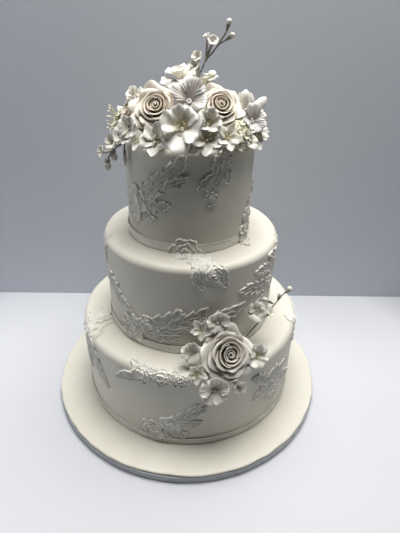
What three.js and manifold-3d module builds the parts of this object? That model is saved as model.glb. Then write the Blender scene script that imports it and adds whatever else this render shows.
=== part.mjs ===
// Three-tier wedding cake on its iced board, with lace appliques and two clusters of sugar flowers.
// Units are millimetres, +Z is up and the front faces -Y.
// The origin is the centre of the board's underside.
import * as THREE from "three";
import { mergeVertices } from "three/addons/utils/BufferGeometryUtils.js";
import Module from "manifold-3d";

const wasm = await Module();
wasm.setup();

// ---------------------------------------------------------------- driving dimensions

const gap = 0.3; // between neighbouring pieces
const board = { radius: 203, drum: 12, icing: 4, edge: 1.5, facets: 40 };
const ribbon = { height: 12, thickness: 0.6 };
const edgeRound = { radius: 8, steps: 2 }; // the rounded top edge of each tier
const tiers = [
  { name: "bottom", radius: 157, height: 126, shift: 2.5, facets: 40 },
  { name: "middle", radius: 116.6, height: 127, shift: 1.6, facets: 32 },
  { name: "top", radius: 80.3, height: 124, shift: -1.5, facets: 26 },
];
const lace = { thickness: 1.3, behind: 22, before: 8 }; // behind, before: reach of an outline's cut
const topMound = { radius: 57, height: 45, facets: 14, steps: 3 };
const sideMound = { turn: 17, reach: 137, radius: 19.5, height: 30, facets: 10, steps: 3 };

const icingColour = 0xe9e5d9;
const laceColour = 0xe4e0d4;
const roseColour = 0xe3d6c5;
const petalColour = 0xe8e0d0;
const pearlColour = 0xe6e4e0;
const stemColour = 0x8d8a80;
const leafyColour = 0xdcd8b0;
const ribbonColour = 0xe2dfd6;
const boardRibbonColour = 0xb4b8bd;
const cardColour = 0xc9c9c6;
const sheen = { icing: 0.6, ribbon: 0.42, lace: 0.65, petal: 0.55, stem: 0.6, card: 0.7 }; // roughness

const radians = THREE.MathUtils.degToRad;
const up = new THREE.Vector3(0, 0, 1);

let base = board.drum + gap + board.icing + gap;
for (const tier of tiers) {
  tier.base = base;
  base += tier.height + gap;
}
tiers.forEach((tier, i) => {
  tier.ledge = i + 1 < tiers.length ? tier.radius - tiers[i + 1].radius : tier.radius;
});
const [bottomTier, middleTier, topTier] = tiers;
const mountAt = {
  top: new THREE.Vector3(topTier.shift, 0, base),
  side: new THREE.Vector3(
    middleTier.shift + sideMound.reach * Math.sin(radians(sideMound.turn)),
    -sideMound.reach * Math.cos(radians(sideMound.turn)),
    middleTier.base,
  ),
};

// ---------------------------------------------------------------- solids

function solid(geometry) {
  const plain = geometry.clone();
  plain.deleteAttribute("normal");
  plain.deleteAttribute("uv");
  const merged = mergeVertices(plain, 1e-4);
  const corners = merged.index.array;
  const kept = [];
  for (let i = 0; i < corners.length; i += 3) {
    const [a, b, c] = corners.slice(i, i + 3);
    if (a !== b && b !== c && c !== a) kept.push(a, b, c);
  }
  const made = new wasm.Manifold(
    new wasm.Mesh({
      numProp: 3,
      vertProperties: merged.attributes.position.array,
      triVerts: new Uint32Array(kept),
    }),
  );
  if (made.volume() <= 0) throw new Error("a solid is inside out");
  return made;
}

function geometryOf(made) {
  const mesh = made.getMesh();
  const places = new Float32Array(mesh.numVert * 3);
  for (let i = 0; i < mesh.numVert; i++) {
    places.set(mesh.vertProperties.subarray(i * mesh.numProp, i * mesh.numProp + 3), i * 3);
  }
  const geometry = new THREE.BufferGeometry();
  geometry.setAttribute("position", new THREE.BufferAttribute(places, 3));
  geometry.setIndex(new THREE.BufferAttribute(mesh.triVerts, 1));
  return geometry;
}

const joined = (solids) => solids.reduce((sum, next) => sum.add(next));
const cutBy = (made, others) => others.reduce((rest, other) => rest.subtract(other), made);

function largestBody(made) {
  const bodies = made.decompose();
  return bodies.reduce((best, next) => (next.volume() > best.volume() ? next : best));
}

// A profile of [radius, height] points turned about the Z axis.
function turned(profile, facets) {
  const points = profile.map(([radius, height]) => new THREE.Vector2(radius, height));
  return new THREE.LatheGeometry(points, facets).rotateX(Math.PI / 2);
}

// Points along a quarter circle from the side of a solid to its top.
function roundedEdge(radius, height, round, steps) {
  return Array.from({ length: steps + 1 }, (_, i) => {
    const angle = ((Math.PI / 2) * i) / steps;
    return [radius - round * (1 - Math.cos(angle)), height - round * (1 - Math.sin(angle))];
  });
}

// A solid round an axis, made of rings of points between two end points.
function ringSolid(first, rings, last) {
  const sides = rings[0].length;
  const places = [first, ...rings.flat(), last];
  const end = places.length - 1;
  const corner = (ring, i) => 1 + ring * sides + (i % sides);
  const index = [];
  for (let i = 0; i < sides; i++) {
    index.push(0, corner(0, i), corner(0, i + 1));
    index.push(end, corner(rings.length - 1, i + 1), corner(rings.length - 1, i));
    for (let ring = 0; ring + 1 < rings.length; ring++) {
      index.push(corner(ring, i), corner(ring + 1, i), corner(ring + 1, i + 1));
      index.push(corner(ring, i), corner(ring + 1, i + 1), corner(ring, i + 1));
    }
  }
  const geometry = new THREE.BufferGeometry().setFromPoints(places);
  geometry.setIndex(index);
  return geometry;
}

function ring(sides, radiusAt, heightAt, centre = new THREE.Vector3()) {
  return Array.from({ length: sides }, (_, i) => {
    const angle = (2 * Math.PI * i) / sides;
    const radius = radiusAt(angle);
    return new THREE.Vector3(
      centre.x + radius * Math.cos(angle),
      centre.y + radius * Math.sin(angle),
      centre.z + heightAt(angle),
    );
  });
}

// ---------------------------------------------------------------- the stack and its surface

// A tier made larger all round by offset, and by the ribbon's thickness where the ribbon lies.
function grownTier(tier, offset) {
  const ribbonOffset = offset + gap + ribbon.thickness;
  const { radius, height } = tier;
  const top = height + offset;
  const foot = tier === bottomTier ? 0 : -2 * gap;
  const profile = [
    [0, foot],
    [radius + ribbonOffset, foot],
    [radius + ribbonOffset, ribbon.height + offset],
    [radius + offset, ribbon.height + 2 * offset],
    ...roundedEdge(radius + offset, top, edgeRound.radius + offset, edgeRound.steps),
    [0, top],
  ];
  return solid(turned(profile, tier.facets).translate(tier.shift, 0, tier.base));
}

const grownStack = (offset) => joined(tiers.map((tier) => grownTier(tier, offset)));

// A frame on the icing at a turn in degrees and a height over a tier's base. Heights past the
// top edge go on over the ledge and up the next tier, and heights below the base go down.
function surfaceFrame(level, turn, height) {
  const tier = tiers[level];
  if (height < 0 && level > 0) {
    const below = tiers[level - 1];
    return surfaceFrame(level - 1, turn, height + below.height + below.ledge);
  }
  if (height > tier.height + tier.ledge) {
    return surfaceFrame(level + 1, turn, height - tier.height - tier.ledge);
  }
  const past = Math.max(0, height - tier.height);
  const bend = edgeRound.radius;
  let tilt = THREE.MathUtils.clamp((height - tier.height + bend) / (2 * bend), 0, 1);
  if (tier.ledge - past < bend) tilt = (1 + (tier.ledge - past) / bend) / 2;
  if (level > 0 && height < bend) tilt = (1 - height / bend) / 2;
  const out = new THREE.Vector3(Math.sin(radians(turn)), -Math.cos(radians(turn)), 0);
  const lean = (tilt * Math.PI) / 2;
  const normal = out.clone().multiplyScalar(Math.cos(lean)).addScaledVector(up, Math.sin(lean));
  const upward = up.clone().multiplyScalar(Math.cos(lean)).addScaledVector(out, -Math.sin(lean));
  const place = out.clone().multiplyScalar(tier.radius - past);
  place.add(new THREE.Vector3(tier.shift, 0, tier.base + Math.min(height, tier.height)));
  const across = new THREE.Vector3().crossVectors(upward, normal);
  const radius = tier.radius - past;
  return { matrix: new THREE.Matrix4().makeBasis(across, upward, normal).setPosition(place), radius };
}

// ---------------------------------------------------------------- lace

const bloom = (turn, height, radius) => ({ turn, height, radius });
const leaf = (fromTurn, fromHeight, toTurn, toHeight, width) => ({
  turn: (fromTurn + toTurn) / 2,
  height: (fromHeight + toHeight) / 2,
  turnSpan: toTurn - fromTurn,
  heightSpan: toHeight - fromHeight,
  width,
});

// Each applique lies on a tier, or over its ledges, as blooms and leaves that overlap:
// turn in degrees from the front towards +X, heights and sizes in millimetres.
const laces = {
  lace_top_left: {
    level: 2,
    motifs: [
      bloom(-52, 54, 20),
      leaf(-46, 54, -25, 99, 14),
      leaf(-42, 60, -5, 121, 20),
      leaf(-20, 84, -1, 95, 10),
      leaf(-46, 52, -17, 60, 14),
      leaf(-52, 46, -31, 40, 12),
    ],
  },
  lace_top_right: {
    level: 2,
    motifs: [
      bloom(27, 108, 14),
      leaf(24, 104, 8, 80, 11),
      leaf(28, 106, 34, 84, 11),
      leaf(26, 106, 16, 68, 13),
      bloom(17.5, 69, 9),
    ],
  },
  lace_top_edge: {
    level: 2,
    motifs: [
      leaf(64, 26, 76, 74, 12),
      bloom(64, 32, 12),
      bloom(60, 14, 14),
      leaf(60, 10, 52, -14, 13),
    ],
  },
  lace_top_back: {
    level: 2,
    motifs: [
      bloom(172, 60, 17),
      leaf(166, 62, 140, 104, 15),
      leaf(178, 56, 208, 72, 14),
      leaf(172, 60, 180, 24, 13),
    ],
  },
  lace_middle_front: {
    level: 1,
    motifs: [
      bloom(-3, 165, 20),
      bloom(7, 146, 17),
      leaf(3, 142, 7, 98, 15),
      bloom(14, 122, 14),
      leaf(15, 126, 23, 98, 13),
    ],
  },
  lace_middle_left: {
    level: 1,
    motifs: [
      leaf(-72, 136, -74, 80, 17),
      bloom(-68, 78, 14),
      leaf(-72, 80, -51, 77, 14),
      leaf(-70, 78, -38, 50, 16),
    ],
  },
  lace_middle_low: {
    level: 1,
    motifs: [
      bloom(-39, 23, 19),
      leaf(-40, 30, -19, 56, 17),
      leaf(-34, 28, -5, 69, 18),
      leaf(-34, 24, -6, 27, 14),
      leaf(-16, 40, 12, 73, 17),
      leaf(-12, 46, 22, 48, 18),
      leaf(12, 48, 36, 68, 15),
    ],
  },
  lace_middle_right: {
    level: 1,
    motifs: [
      leaf(78, 130, 62, 70, 17),
      leaf(60, 78, 30, 85, 15),
      leaf(70, 98, 42, 104, 12),
      leaf(74, 108, 56, 117, 11),
      bloom(62, 72, 16),
      leaf(62, 66, 43, 45, 13),
    ],
  },
  lace_middle_back: {
    level: 1,
    motifs: [
      bloom(150, 46, 17),
      leaf(152, 50, 128, 84, 16),
      leaf(148, 44, 124, 26, 14),
      leaf(150, 50, 186, 70, 17),
      bloom(188, 66, 15),
      leaf(188, 66, 218, 104, 17),
      leaf(188, 62, 214, 40, 15),
    ],
  },
  lace_bottom_left: {
    level: 0,
    motifs: [
      bloom(-73, 148, 18),
      bloom(-65, 124, 17),
      leaf(-62, 122, -44, 60, 18),
      leaf(-66, 116, -61, 64, 14),
    ],
  },
  lace_bottom_edge: {
    level: 0,
    motifs: [
      leaf(-22, 120, -37, 94, 15),
      bloom(-22, 118, 14),
      bloom(-13, 120, 15),
      bloom(-4, 121, 14),
      leaf(-14, 130, -30, 138, 13),
      leaf(-8, 130, 6, 138, 14),
    ],
  },
  lace_bottom_front: {
    level: 0,
    motifs: [
      bloom(-15, 17, 14),
      bloom(-18, 32, 14),
      bloom(-9.5, 47, 11),
      leaf(-12, 34, 6, 81, 17),
      leaf(-13, 32, 9, 41, 15),
      leaf(-13, 20, 2, 19, 12),
    ],
  },
  lace_bottom_right: {
    level: 0,
    motifs: [
      bloom(45, 78, 17),
      leaf(44, 80, 30, 102, 15),
      leaf(44, 82, 48, 116, 15),
      leaf(46, 70, 32, 58, 14),
      bloom(47, 48, 15),
      leaf(46, 76, 66, 50, 17),
      leaf(47, 84, 74, 128, 19),
      bloom(76, 130, 13),
    ],
  },
  lace_bottom_back: {
    level: 0,
    motifs: [
      bloom(140, 60, 18),
      leaf(142, 62, 120, 104, 17),
      leaf(138, 56, 118, 34, 15),
      leaf(140, 62, 172, 84, 18),
      bloom(174, 84, 17),
      leaf(174, 84, 206, 54, 18),
      bloom(207, 52, 17),
      leaf(207, 54, 232, 92, 16),
    ],
  },
};

const bloomShape = { lobes: 5, notch: 0.84 };
const leafBulge = { near: 0.75, far: 0.6 }; // of the leaf's width, towards its foot and its tip

function bloomOutline(radius) {
  const { lobes, notch } = bloomShape;
  const points = Array.from({ length: 2 * lobes }, (_, i) => {
    const angle = (Math.PI * i) / lobes;
    const reach = radius * (i % 2 ? notch : 1);
    return new THREE.Vector2(reach * Math.cos(angle), reach * Math.sin(angle));
  });
  return new THREE.Shape(points);
}

function leafOutline(length, width) {
  const half = length / 2;
  const shape = new THREE.Shape();
  shape.moveTo(-half, 0);
  const near = width * leafBulge.near;
  const far = width * leafBulge.far;
  shape.bezierCurveTo(-half / 2, -near, half / 4, -far, half, 0);
  shape.bezierCurveTo(half / 4, far, -half / 2, near, -half, 0);
  return shape;
}

// The prism that cuts one motif out of the icing's skin.
function motifPrism(level, motif) {
  const { matrix, radius } = surfaceFrame(level, motif.turn, motif.height);
  const depth = lace.behind + lace.before;
  const settings = { depth, bevelEnabled: false, curveSegments: 3 };
  let outline;
  let heading = 0;
  if (motif.radius) {
    outline = bloomOutline(motif.radius);
  } else {
    const along = radians(motif.turnSpan) * radius;
    heading = Math.atan2(motif.heightSpan, along);
    outline = leafOutline(Math.hypot(along, motif.heightSpan), motif.width);
  }
  const prism = new THREE.ExtrudeGeometry(outline, settings).translate(0, 0, -lace.behind);
  return solid(prism.rotateZ(heading).applyMatrix4(matrix));
}

const prismsOf = ({ level, motifs }) => joined(motifs.map((motif) => motifPrism(level, motif)));

// ---------------------------------------------------------------- flowers

// A direction from a turn in degrees from the front towards +X and a rise over the horizon.
function direction(turn, rise) {
  const level = Math.cos(radians(rise));
  return new THREE.Vector3(
    level * Math.sin(radians(turn)),
    -level * Math.cos(radians(turn)),
    Math.sin(radians(rise)),
  );
}

// On the top mound a flower sits along a direction from the mound's foot and faces that way.
function onTop(turn, rise, reach, facing = [turn, rise]) {
  const place = direction(turn, rise).multiplyScalar(reach).add(mountAt.top);
  const root = mountAt.top.clone().addScaledVector(up, topMound.height / 3);
  return { place, facing: direction(...facing), root };
}

// In the side cluster a flower sits at a turn, a distance from the axis and a height over the
// bottom tier, and its stalk ends at a distance and a height of its own.
function onSide(turn, reach, height, facing, rootReach, rootHeight) {
  const ground = new THREE.Vector3(middleTier.shift, 0, middleTier.base);
  const out = direction(turn, 0);
  const place = out.clone().multiplyScalar(reach).add(ground).addScaledVector(up, height);
  const root = out.multiplyScalar(rootReach).add(ground).addScaledVector(up, rootHeight);
  return { place, facing: direction(...facing), root };
}

// 0 in the notch between two petals and 1 at a petal's middle.
function petalWave(angle, petals) {
  const turn = (angle * petals) / (2 * Math.PI);
  return 1 - Math.abs(2 * (turn - Math.floor(turn)) - 1);
}

// 0 where a petal starts, rising to 1 where the next one covers it.
function petalStep(angle, petals, start) {
  const turn = (angle * petals) / (2 * Math.PI) + start;
  return turn - Math.floor(turn);
}

const stalkRadius = 2;
const flat = () => 0;
const always = (value) => () => value;

// The back of a flower narrows to a stalk that ends at the root.
function stalkRing(sides, root) {
  return ring(sides, always(stalkRadius), flat, root);
}

// A blossom's rings as fractions of its radius: the petals' middle line and its rise, the rise
// left in a notch, the back of the calyx, and the depths of the throat and the back.
const blossomParts = {
  throatDepth: 0.15,
  middle: 0.5,
  middleRise: 0.35,
  notchRise: 0.3,
  back: 0.4,
  backDepth: 0.45,
};

// An open flower: a throat, petals that rise to a notched rim, and the calyx behind.
function blossom({ radius, petals, notch, point, cup, samples = 3 }, root) {
  const parts = blossomParts;
  const sides = petals * samples;
  const wave = (angle) => petalWave(angle, petals);
  const reach = (angle) => radius * (1 - notch * (1 - wave(angle) ** point));
  const rise = (angle) => radius * cup * (parts.notchRise + (1 - parts.notchRise) * wave(angle));
  const middleRise = (angle) => radius * cup * parts.middleRise * wave(angle);
  const middle = ring(sides, always(radius * parts.middle), middleRise);
  const rim = ring(sides, reach, rise);
  const back = ring(sides, always(radius * parts.back), always(-radius * parts.backDepth));
  const throat = new THREE.Vector3(0, 0, -radius * parts.throatDepth);
  return ringSolid(throat, [middle, rim, back, stalkRing(sides, root)], root);
}

// A rose: a tight bud inside three rows of petals, each row a cup whose rim winds outwards.
// Grooves and rims are [radius, height] as fractions of the rose's radius.
const roseRows = [
  { groove: [0.03, 0.2], rim: [0.13, 0.3], petals: 2 },
  { groove: [0.2, 0.1], rim: [0.36, 0.25], petals: 3 },
  { groove: [0.42, 0.03], rim: [0.64, 0.14], petals: 4 },
  { groove: [0.7, -0.1], rim: [1, -0.02], petals: 5 },
];

const roseShape = { sides: 15, rowTurn: 0.37, wind: 0.06, bulge: 0.06, droop: 0.08, heart: 0.22 };
const roseBack = { radius: 0.45, depth: 0.5 };

function rose({ radius }, root) {
  const { sides, rowTurn, wind, bulge, droop, heart } = roseShape;
  const rings = roseRows.flatMap(({ groove, rim, petals }, row) => {
    const step = (angle) => petalStep(angle, petals, row * rowTurn);
    const wave = (angle) => Math.sin(Math.PI * step(angle));
    const grooveRadius = (angle) => radius * groove[0] * (1 + wind * (step(angle) - 0.5));
    const rimReach = (angle) => 1 - wind * (1 - step(angle)) - bulge * (1 - wave(angle));
    const rimRadius = (angle) => radius * rim[0] * rimReach(angle);
    const rimHeight = (angle) => radius * (rim[1] - droop * (1 - wave(angle)));
    return [ring(sides, grooveRadius, always(radius * groove[1])), ring(sides, rimRadius, rimHeight)];
  });
  rings.push(ring(sides, always(radius * roseBack.radius), always(-radius * roseBack.depth)));
  rings.push(stalkRing(sides, root));
  return ringSolid(new THREE.Vector3(0, 0, radius * heart), rings, root);
}

// A closed bud, widest below its middle.
function budProfile(radius, length) {
  return [
    [0, 0],
    [radius * 0.7, length * 0.16],
    [radius, length * 0.42],
    [radius * 0.8, length * 0.75],
    [0, length],
  ];
}

// The turn and shift that take +Z at the origin to a direction at a place.
function aim(place, facing) {
  const turnTo = new THREE.Quaternion().setFromUnitVectors(up, facing.clone().normalize());
  return new THREE.Matrix4().compose(place, turnTo, new THREE.Vector3(1, 1, 1));
}

function stem(points, radius) {
  const section = new THREE.Shape().absarc(0, 0, radius, 0, 2 * Math.PI);
  const path = new THREE.CatmullRomCurve3(points);
  const steps = points.length;
  const settings = { extrudePath: path, steps, bevelEnabled: false, curveSegments: 2 };
  return new THREE.ExtrudeGeometry(section, settings);
}

const smallSides = 7; // of buds, cores and clearances
const budPetal = { radius: 0.48, length: 2, apart: 0.42, lean: 0.3, skew: 0.1 };
const budCalyx = { radius: 0.6, top: 0.4, depth: 0.6 };

// Two plump petals of a half-open flower on one stalk.
function budPair({ radius }, root) {
  const petals = [-1, 1].map((side) => {
    const petal = turned(budProfile(radius * budPetal.radius, radius * budPetal.length), smallSides);
    const lean = new THREE.Vector3(side * budPetal.lean, side * budPetal.skew, 1);
    const foot = new THREE.Vector3(side * radius * budPetal.apart, 0, -radius);
    return solid(petal.applyMatrix4(aim(foot, lean)));
  });
  const start = new THREE.Vector3(0, 0, -radius * budCalyx.top);
  const calyx = ring(smallSides, always(radius * budCalyx.radius), always(-radius * budCalyx.depth));
  const stalk = ringSolid(start, [calyx, stalkRing(smallSides, root)], root);
  return joined([...petals, solid(stalk)]);
}

const tinyFlower = { radius: 6.5, petals: 5, notch: 0.5, rise: 0.2, depth: 1.3 };

function tinyBlossom() {
  const { radius, petals, notch, rise, depth } = tinyFlower;
  const reach = (angle) => radius * (1 - notch * (1 - petalWave(angle, petals)));
  const rim = ring(2 * petals, reach, always(radius * rise));
  return ringSolid(new THREE.Vector3(), [rim], new THREE.Vector3(0, 0, -radius * depth));
}

const fillerCore = { top: 0.1, side: 0.75, sideDepth: 0.25, back: 0.4, backDepth: 0.7 };
const fillerDome = { reach: 0.82, rise: 0.22, fall: 0.3, spread: 0.6 };
const goldenAngle = Math.PI * (3 - Math.sqrt(5));

// A close mass of tiny flowers over a low core: the flowers follow a golden-angle spiral.
function filler({ radius, count }, root) {
  const side = ring(smallSides, always(radius * fillerCore.side), always(-radius * fillerCore.sideDepth));
  const back = ring(smallSides, always(radius * fillerCore.back), always(-radius * fillerCore.backDepth));
  const top = new THREE.Vector3(0, 0, radius * fillerCore.top);
  const core = ringSolid(top, [side, back, stalkRing(smallSides, root)], root);
  const flowers = Array.from({ length: count }, (_, i) => {
    const reach = fillerDome.reach * Math.sqrt((i + 0.5) / count);
    const out = new THREE.Vector3(Math.cos(i * goldenAngle), Math.sin(i * goldenAngle), 0);
    const rise = radius * (fillerDome.rise - fillerDome.fall * reach ** 2);
    const place = out.clone().multiplyScalar(radius * reach).addScaledVector(up, rise);
    const facing = out.multiplyScalar(fillerDome.spread).add(up);
    return solid(tinyBlossom().applyMatrix4(aim(place, facing)));
  });
  return joined([solid(core), ...flowers]);
}

const forms = {
  round: { make: blossom, petals: 5, notch: 0.3, point: 0.45, cup: 0.3, colour: petalColour },
  flat: { make: blossom, petals: 5, notch: 0.28, point: 0.5, cup: 0.12, colour: pearlColour },
  four: { make: blossom, petals: 4, notch: 0.42, point: 0.5, cup: 0.25, colour: pearlColour },
  star: { make: blossom, petals: 5, notch: 0.5, point: 0.9, cup: 0.2, samples: 2, colour: petalColour },
  cup: { make: blossom, petals: 5, notch: 0.15, point: 0.5, cup: 0.6, colour: pearlColour },
  rose: { make: rose, colour: roseColour },
  buds: { make: budPair, colour: pearlColour },
  filler: { make: filler, count: 7, colour: leafyColour },
  wisps: { make: filler, count: 4, colour: leafyColour },
};

const flowers = {
  rose_left: { form: "rose", radius: 27.5, at: onTop(-40, 32, 67, [-14, 40]) },
  rose_right: { form: "rose", radius: 25, at: onTop(36, 34.5, 67, [14, 42]) },
  rose_side: { form: "rose", radius: 22, at: onTop(-76, 21, 73, [-62, 30]) },
  rose_back: { form: "rose", radius: 27, at: onTop(172, 34, 62) },
  blossom_middle: { form: "flat", radius: 21, at: onTop(-2, 39, 72) },
  blossom_open: { form: "round", radius: 24, at: onTop(-6, 17, 80, [-5, 34]) },
  blossom_crown: { form: "round", radius: 20, at: onTop(-55, 78, 62) },
  blossom_trumpet: { form: "cup", radius: 9, at: onTop(-89, 34, 76, [-60, 40]) },
  blossom_cup: { form: "cup", radius: 10, at: onTop(107, 68, 64, [20, 75]) },
  blossom_petite: { form: "round", radius: 13, at: onTop(14.5, 19.5, 82, [10, 36]) },
  blossom_striped: { form: "flat", radius: 17, at: onTop(62, 16, 81, [26, 32]) },
  blossom_left: { form: "round", radius: 14, at: onTop(-52, 11, 83, [-36, 30]) },
  star_left: { form: "star", radius: 17, at: onTop(-27, 8, 85, [-26, 38]) },
  star_front: { form: "star", radius: 18, at: onTop(12, 8, 84, [8, 40]) },
  star_right: { form: "star", radius: 15, at: onTop(28, 8, 85, [24, 40]) },
  star_edge: { form: "star", radius: 15, at: onTop(62, 3, 84, [45, 25]) },
  filler_right: { form: "filler", radius: 17, at: onTop(43, 8, 82, [36, 30]) },
  filler_left: { form: "wisps", radius: 15, at: onTop(-88, 9, 84) },
  buds_right: { form: "buds", radius: 13, at: onTop(87, 26, 80, [80, 70]) },
  blossom_back_left: { form: "round", radius: 23, at: onTop(-132, 8, 76) },
  blossom_back_right: { form: "flat", radius: 24, at: onTop(122, 12, 75) },
  star_back_left: { form: "star", radius: 21, at: onTop(-110, 2, 80, [-110, 15]) },
  star_back_middle: { form: "round", radius: 25, at: onTop(-167, 9, 77, [-167, 18]) },
  star_back_right: { form: "star", radius: 25, at: onTop(152, 4, 79, [152, 15]) },
  rose_low: { form: "rose", radius: 33, at: onSide(18.6, 148, 22, [20, 35], 134, 8) },
  star_low_left: { form: "star", radius: 13.5, at: onSide(6, 128, 48, [-4, 36], 117, 44) },
  blossom_low_back: { form: "flat", radius: 14, at: onSide(15, 128, 57, [12, 25], 117, 50) },
  blossom_low_left: { form: "four", radius: 14, at: onSide(1.4, 140, 23, [-4, 36], 130, 0) },
  blossom_low_folded: { form: "star", radius: 13, at: onSide(3.2, 159, 6, [0, 35], 147, 0) },
  blossom_low_fluted: { form: "flat", radius: 19, at: onSide(10.5, 163, -15, [9, 28], 150, -14) },
  blossom_low_small: { form: "round", radius: 10, at: onSide(21.5, 165, -19, [24, 20], 150, -18) },
  blossom_low_right: { form: "round", radius: 14, at: onSide(34, 153, 5, [38, 32], 141, 0) },
};

function flowerSolid({ form, radius, at }) {
  const shape = { ...forms[form], radius };
  const place = aim(at.place, at.facing);
  const root = at.root.clone().applyMatrix4(place.clone().invert());
  const made = shape.make(shape, root);
  const geometry = made.isBufferGeometry ? made : geometryOf(made);
  return solid(geometry.applyMatrix4(place));
}

// The space beyond the plane between two flowers, which shares the way by their radii.
function spaceBeyond(flower, other) {
  const way = other.at.place.clone().sub(flower.at.place);
  const share = (way.length() * flower.radius) / (flower.radius + other.radius);
  const size = 300;
  const box = new THREE.BoxGeometry(size, size, size).translate(0, 0, size / 2 + share - gap / 2);
  return solid(box.applyMatrix4(aim(flower.at.place, way)));
}

// [radius, height] of the space round a flower, as fractions of its radius.
const roomRings = [
  [1.05, 0.5],
  [1.12, -0.1],
  [0.55, -0.55],
];

// The room that a flower takes, from its stalk to a little beyond its petals.
function flowerRoom({ radius, at }) {
  const place = aim(at.place, at.facing);
  const root = at.root.clone().applyMatrix4(place.clone().invert());
  const ringOf = ([reach, rise]) => ring(smallSides, always(radius * reach), always(radius * rise));
  const rings = roomRings.map(ringOf);
  rings.push(ring(smallSides, always(stalkRadius + 2 * gap), flat, root));
  const top = new THREE.Vector3(0, 0, radius * roomRings[0][1]);
  return solid(ringSolid(top, rings, root.clone()).applyMatrix4(place));
}

const crowdingReach = 1.3; // flowers further apart than this many of their radii don't meet

function crowding(flower, other) {
  const room = crowdingReach * (flower.radius + other.radius);
  return other !== flower && flower.at.place.distanceTo(other.at.place) < room;
}

// ---------------------------------------------------------------- sprays

const point = (x, y, z) => new THREE.Vector3(x, y, z);

const sprigFlower = { radius: 8, petals: 5, notch: 0.4, point: 0.6, cup: 0.35, samples: 2 };
const stemRadius = 1.2;

function sprigBlossom(place, facing, foot, size = sprigFlower.radius) {
  const placed = aim(place, facing);
  const root = foot.clone().applyMatrix4(placed.clone().invert());
  return solid(blossom({ ...sprigFlower, radius: size }, root).applyMatrix4(placed));
}

// A bud whose foot closes over the end of its stem.
function sprigBud(place, facing, radius, length) {
  const bud = turned(budProfile(radius, length), smallSides - 1).translate(0, 0, -2 * stemRadius);
  return solid(bud.applyMatrix4(aim(place, facing)));
}

const sprigStem = (points) => solid(stem(points, stemRadius));

// A tall sprig at the crown: one stem that forks into two buds, with open flowers on side stems.
function tallSprig() {
  const foot = point(7.5, 6, 454);
  const fork = point(15.5, 6, 472.5);
  const high = point(29.5, 6, 490);
  const tip = point(37.3, 6, 501.5);
  const side = point(36.2, 6, 493);
  return joined([
    sprigStem([point(5.5, 5, 430), foot, point(12, 6, 464.5), fork, point(23, 6, 481), high, tip]),
    sprigBud(tip, point(0.25, 0, 1), 3.3, 15),
    sprigStem([point(27, 6, 486.5), point(31.5, 6, 490.5), side]),
    sprigBud(side, point(1, 0, 0.7), 3.4, 14),
    sprigBlossom(point(22.4, 3, 492), point(0.1, -0.8, 0.6), fork, 6.5),
    sprigBlossom(point(16, 5, 496), point(-0.4, -0.4, 0.8), fork, 4),
    sprigBlossom(point(6.5, 3, 475.5), point(-0.3, -0.7, 0.6), foot, 6.5),
    sprigBlossom(point(4.5, 0, 467), point(-0.4, -0.8, 0.4), foot, 6.5),
  ]);
}

// A sprig that leans out to the left under the flowers, with drops hanging from its end.
function leaningSprig() {
  const edge = point(-71, -42, 394.5);
  const bend = point(-81, -41, 388);
  const end = point(-89, -40, 381.5);
  const low = point(-96.5, -40, 371);
  const inner = point(-75.5, -44, 382);
  return joined([
    sprigStem([point(-30, -25, 408), point(-50, -40, 400.5), edge, bend, end, low]),
    sprigStem([edge, point(-75, -43.5, 389), inner]),
    sprigBlossom(point(-88, -42, 390), point(-0.4, -0.7, 0.5), bend, 8),
    sprigBlossom(point(-78, -43, 397), point(-0.3, -0.8, 0.4), edge, 7.5),
    sprigBlossom(point(-100, -38, 379), point(-1, -0.3, 0.1), end, 7),
    sprigBud(low, point(-0.05, 0, -1), 3.4, 14),
    sprigBud(end, point(0.1, 0, -1), 3, 13),
    sprigBud(inner, point(0, 0, -1), 2.4, 18),
  ]);
}

// A sprig that rises to the right from the side cluster, with two buds and two flowers.
function risingSprig() {
  const foot = point(75, -106, 165);
  const middle = point(98, -93.5, 188);
  const end = point(126, -65, 203);
  return joined([
    sprigStem([point(58, -118, 150), foot, middle, point(110, -84.5, 198.5), end]),
    sprigBud(end, point(0.75, 0.5, 0.35), 4, 15),
    sprigBud(point(109, -85, 200), point(-1, -0.3, 0.75), 3.2, 22),
    sprigBlossom(point(104.5, -92, 190), point(0.1, -0.4, 0.9), point(97, -94, 187), 6.5),
    sprigBlossom(point(87, -97, 196), point(-0.35, -0.75, 0.55), middle, 13),
  ]);
}

const sprays = { sprig_tall: tallSprig, sprig_leaning: leaningSprig, sprig_rising: risingSprig };

// ---------------------------------------------------------------- the model

function material(colour, roughness) {
  return new THREE.MeshStandardMaterial({ color: colour, roughness, metalness: 0 });
}

function mesh(name, geometry, colour, roughness) {
  const made = new THREE.Mesh(geometry, material(colour, roughness));
  made.name = name;
  return made;
}

// A mesh from a solid in the cake's frame, held by its own origin inside a group.
function placedMesh(name, made, origin, group, colour, roughness) {
  const geometry = geometryOf(made).translate(-origin.x, -origin.y, -origin.z);
  const placed = mesh(name, geometry, colour, roughness);
  placed.position.copy(origin).sub(group.position);
  group.add(placed);
}

function band(radius, height, facets) {
  const inner = radius + gap;
  const outer = inner + ribbon.thickness;
  const profile = [[inner, 0], [outer, 0], [outer, height], [inner, height], [inner, 0]];
  return turned(profile, facets);
}

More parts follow.
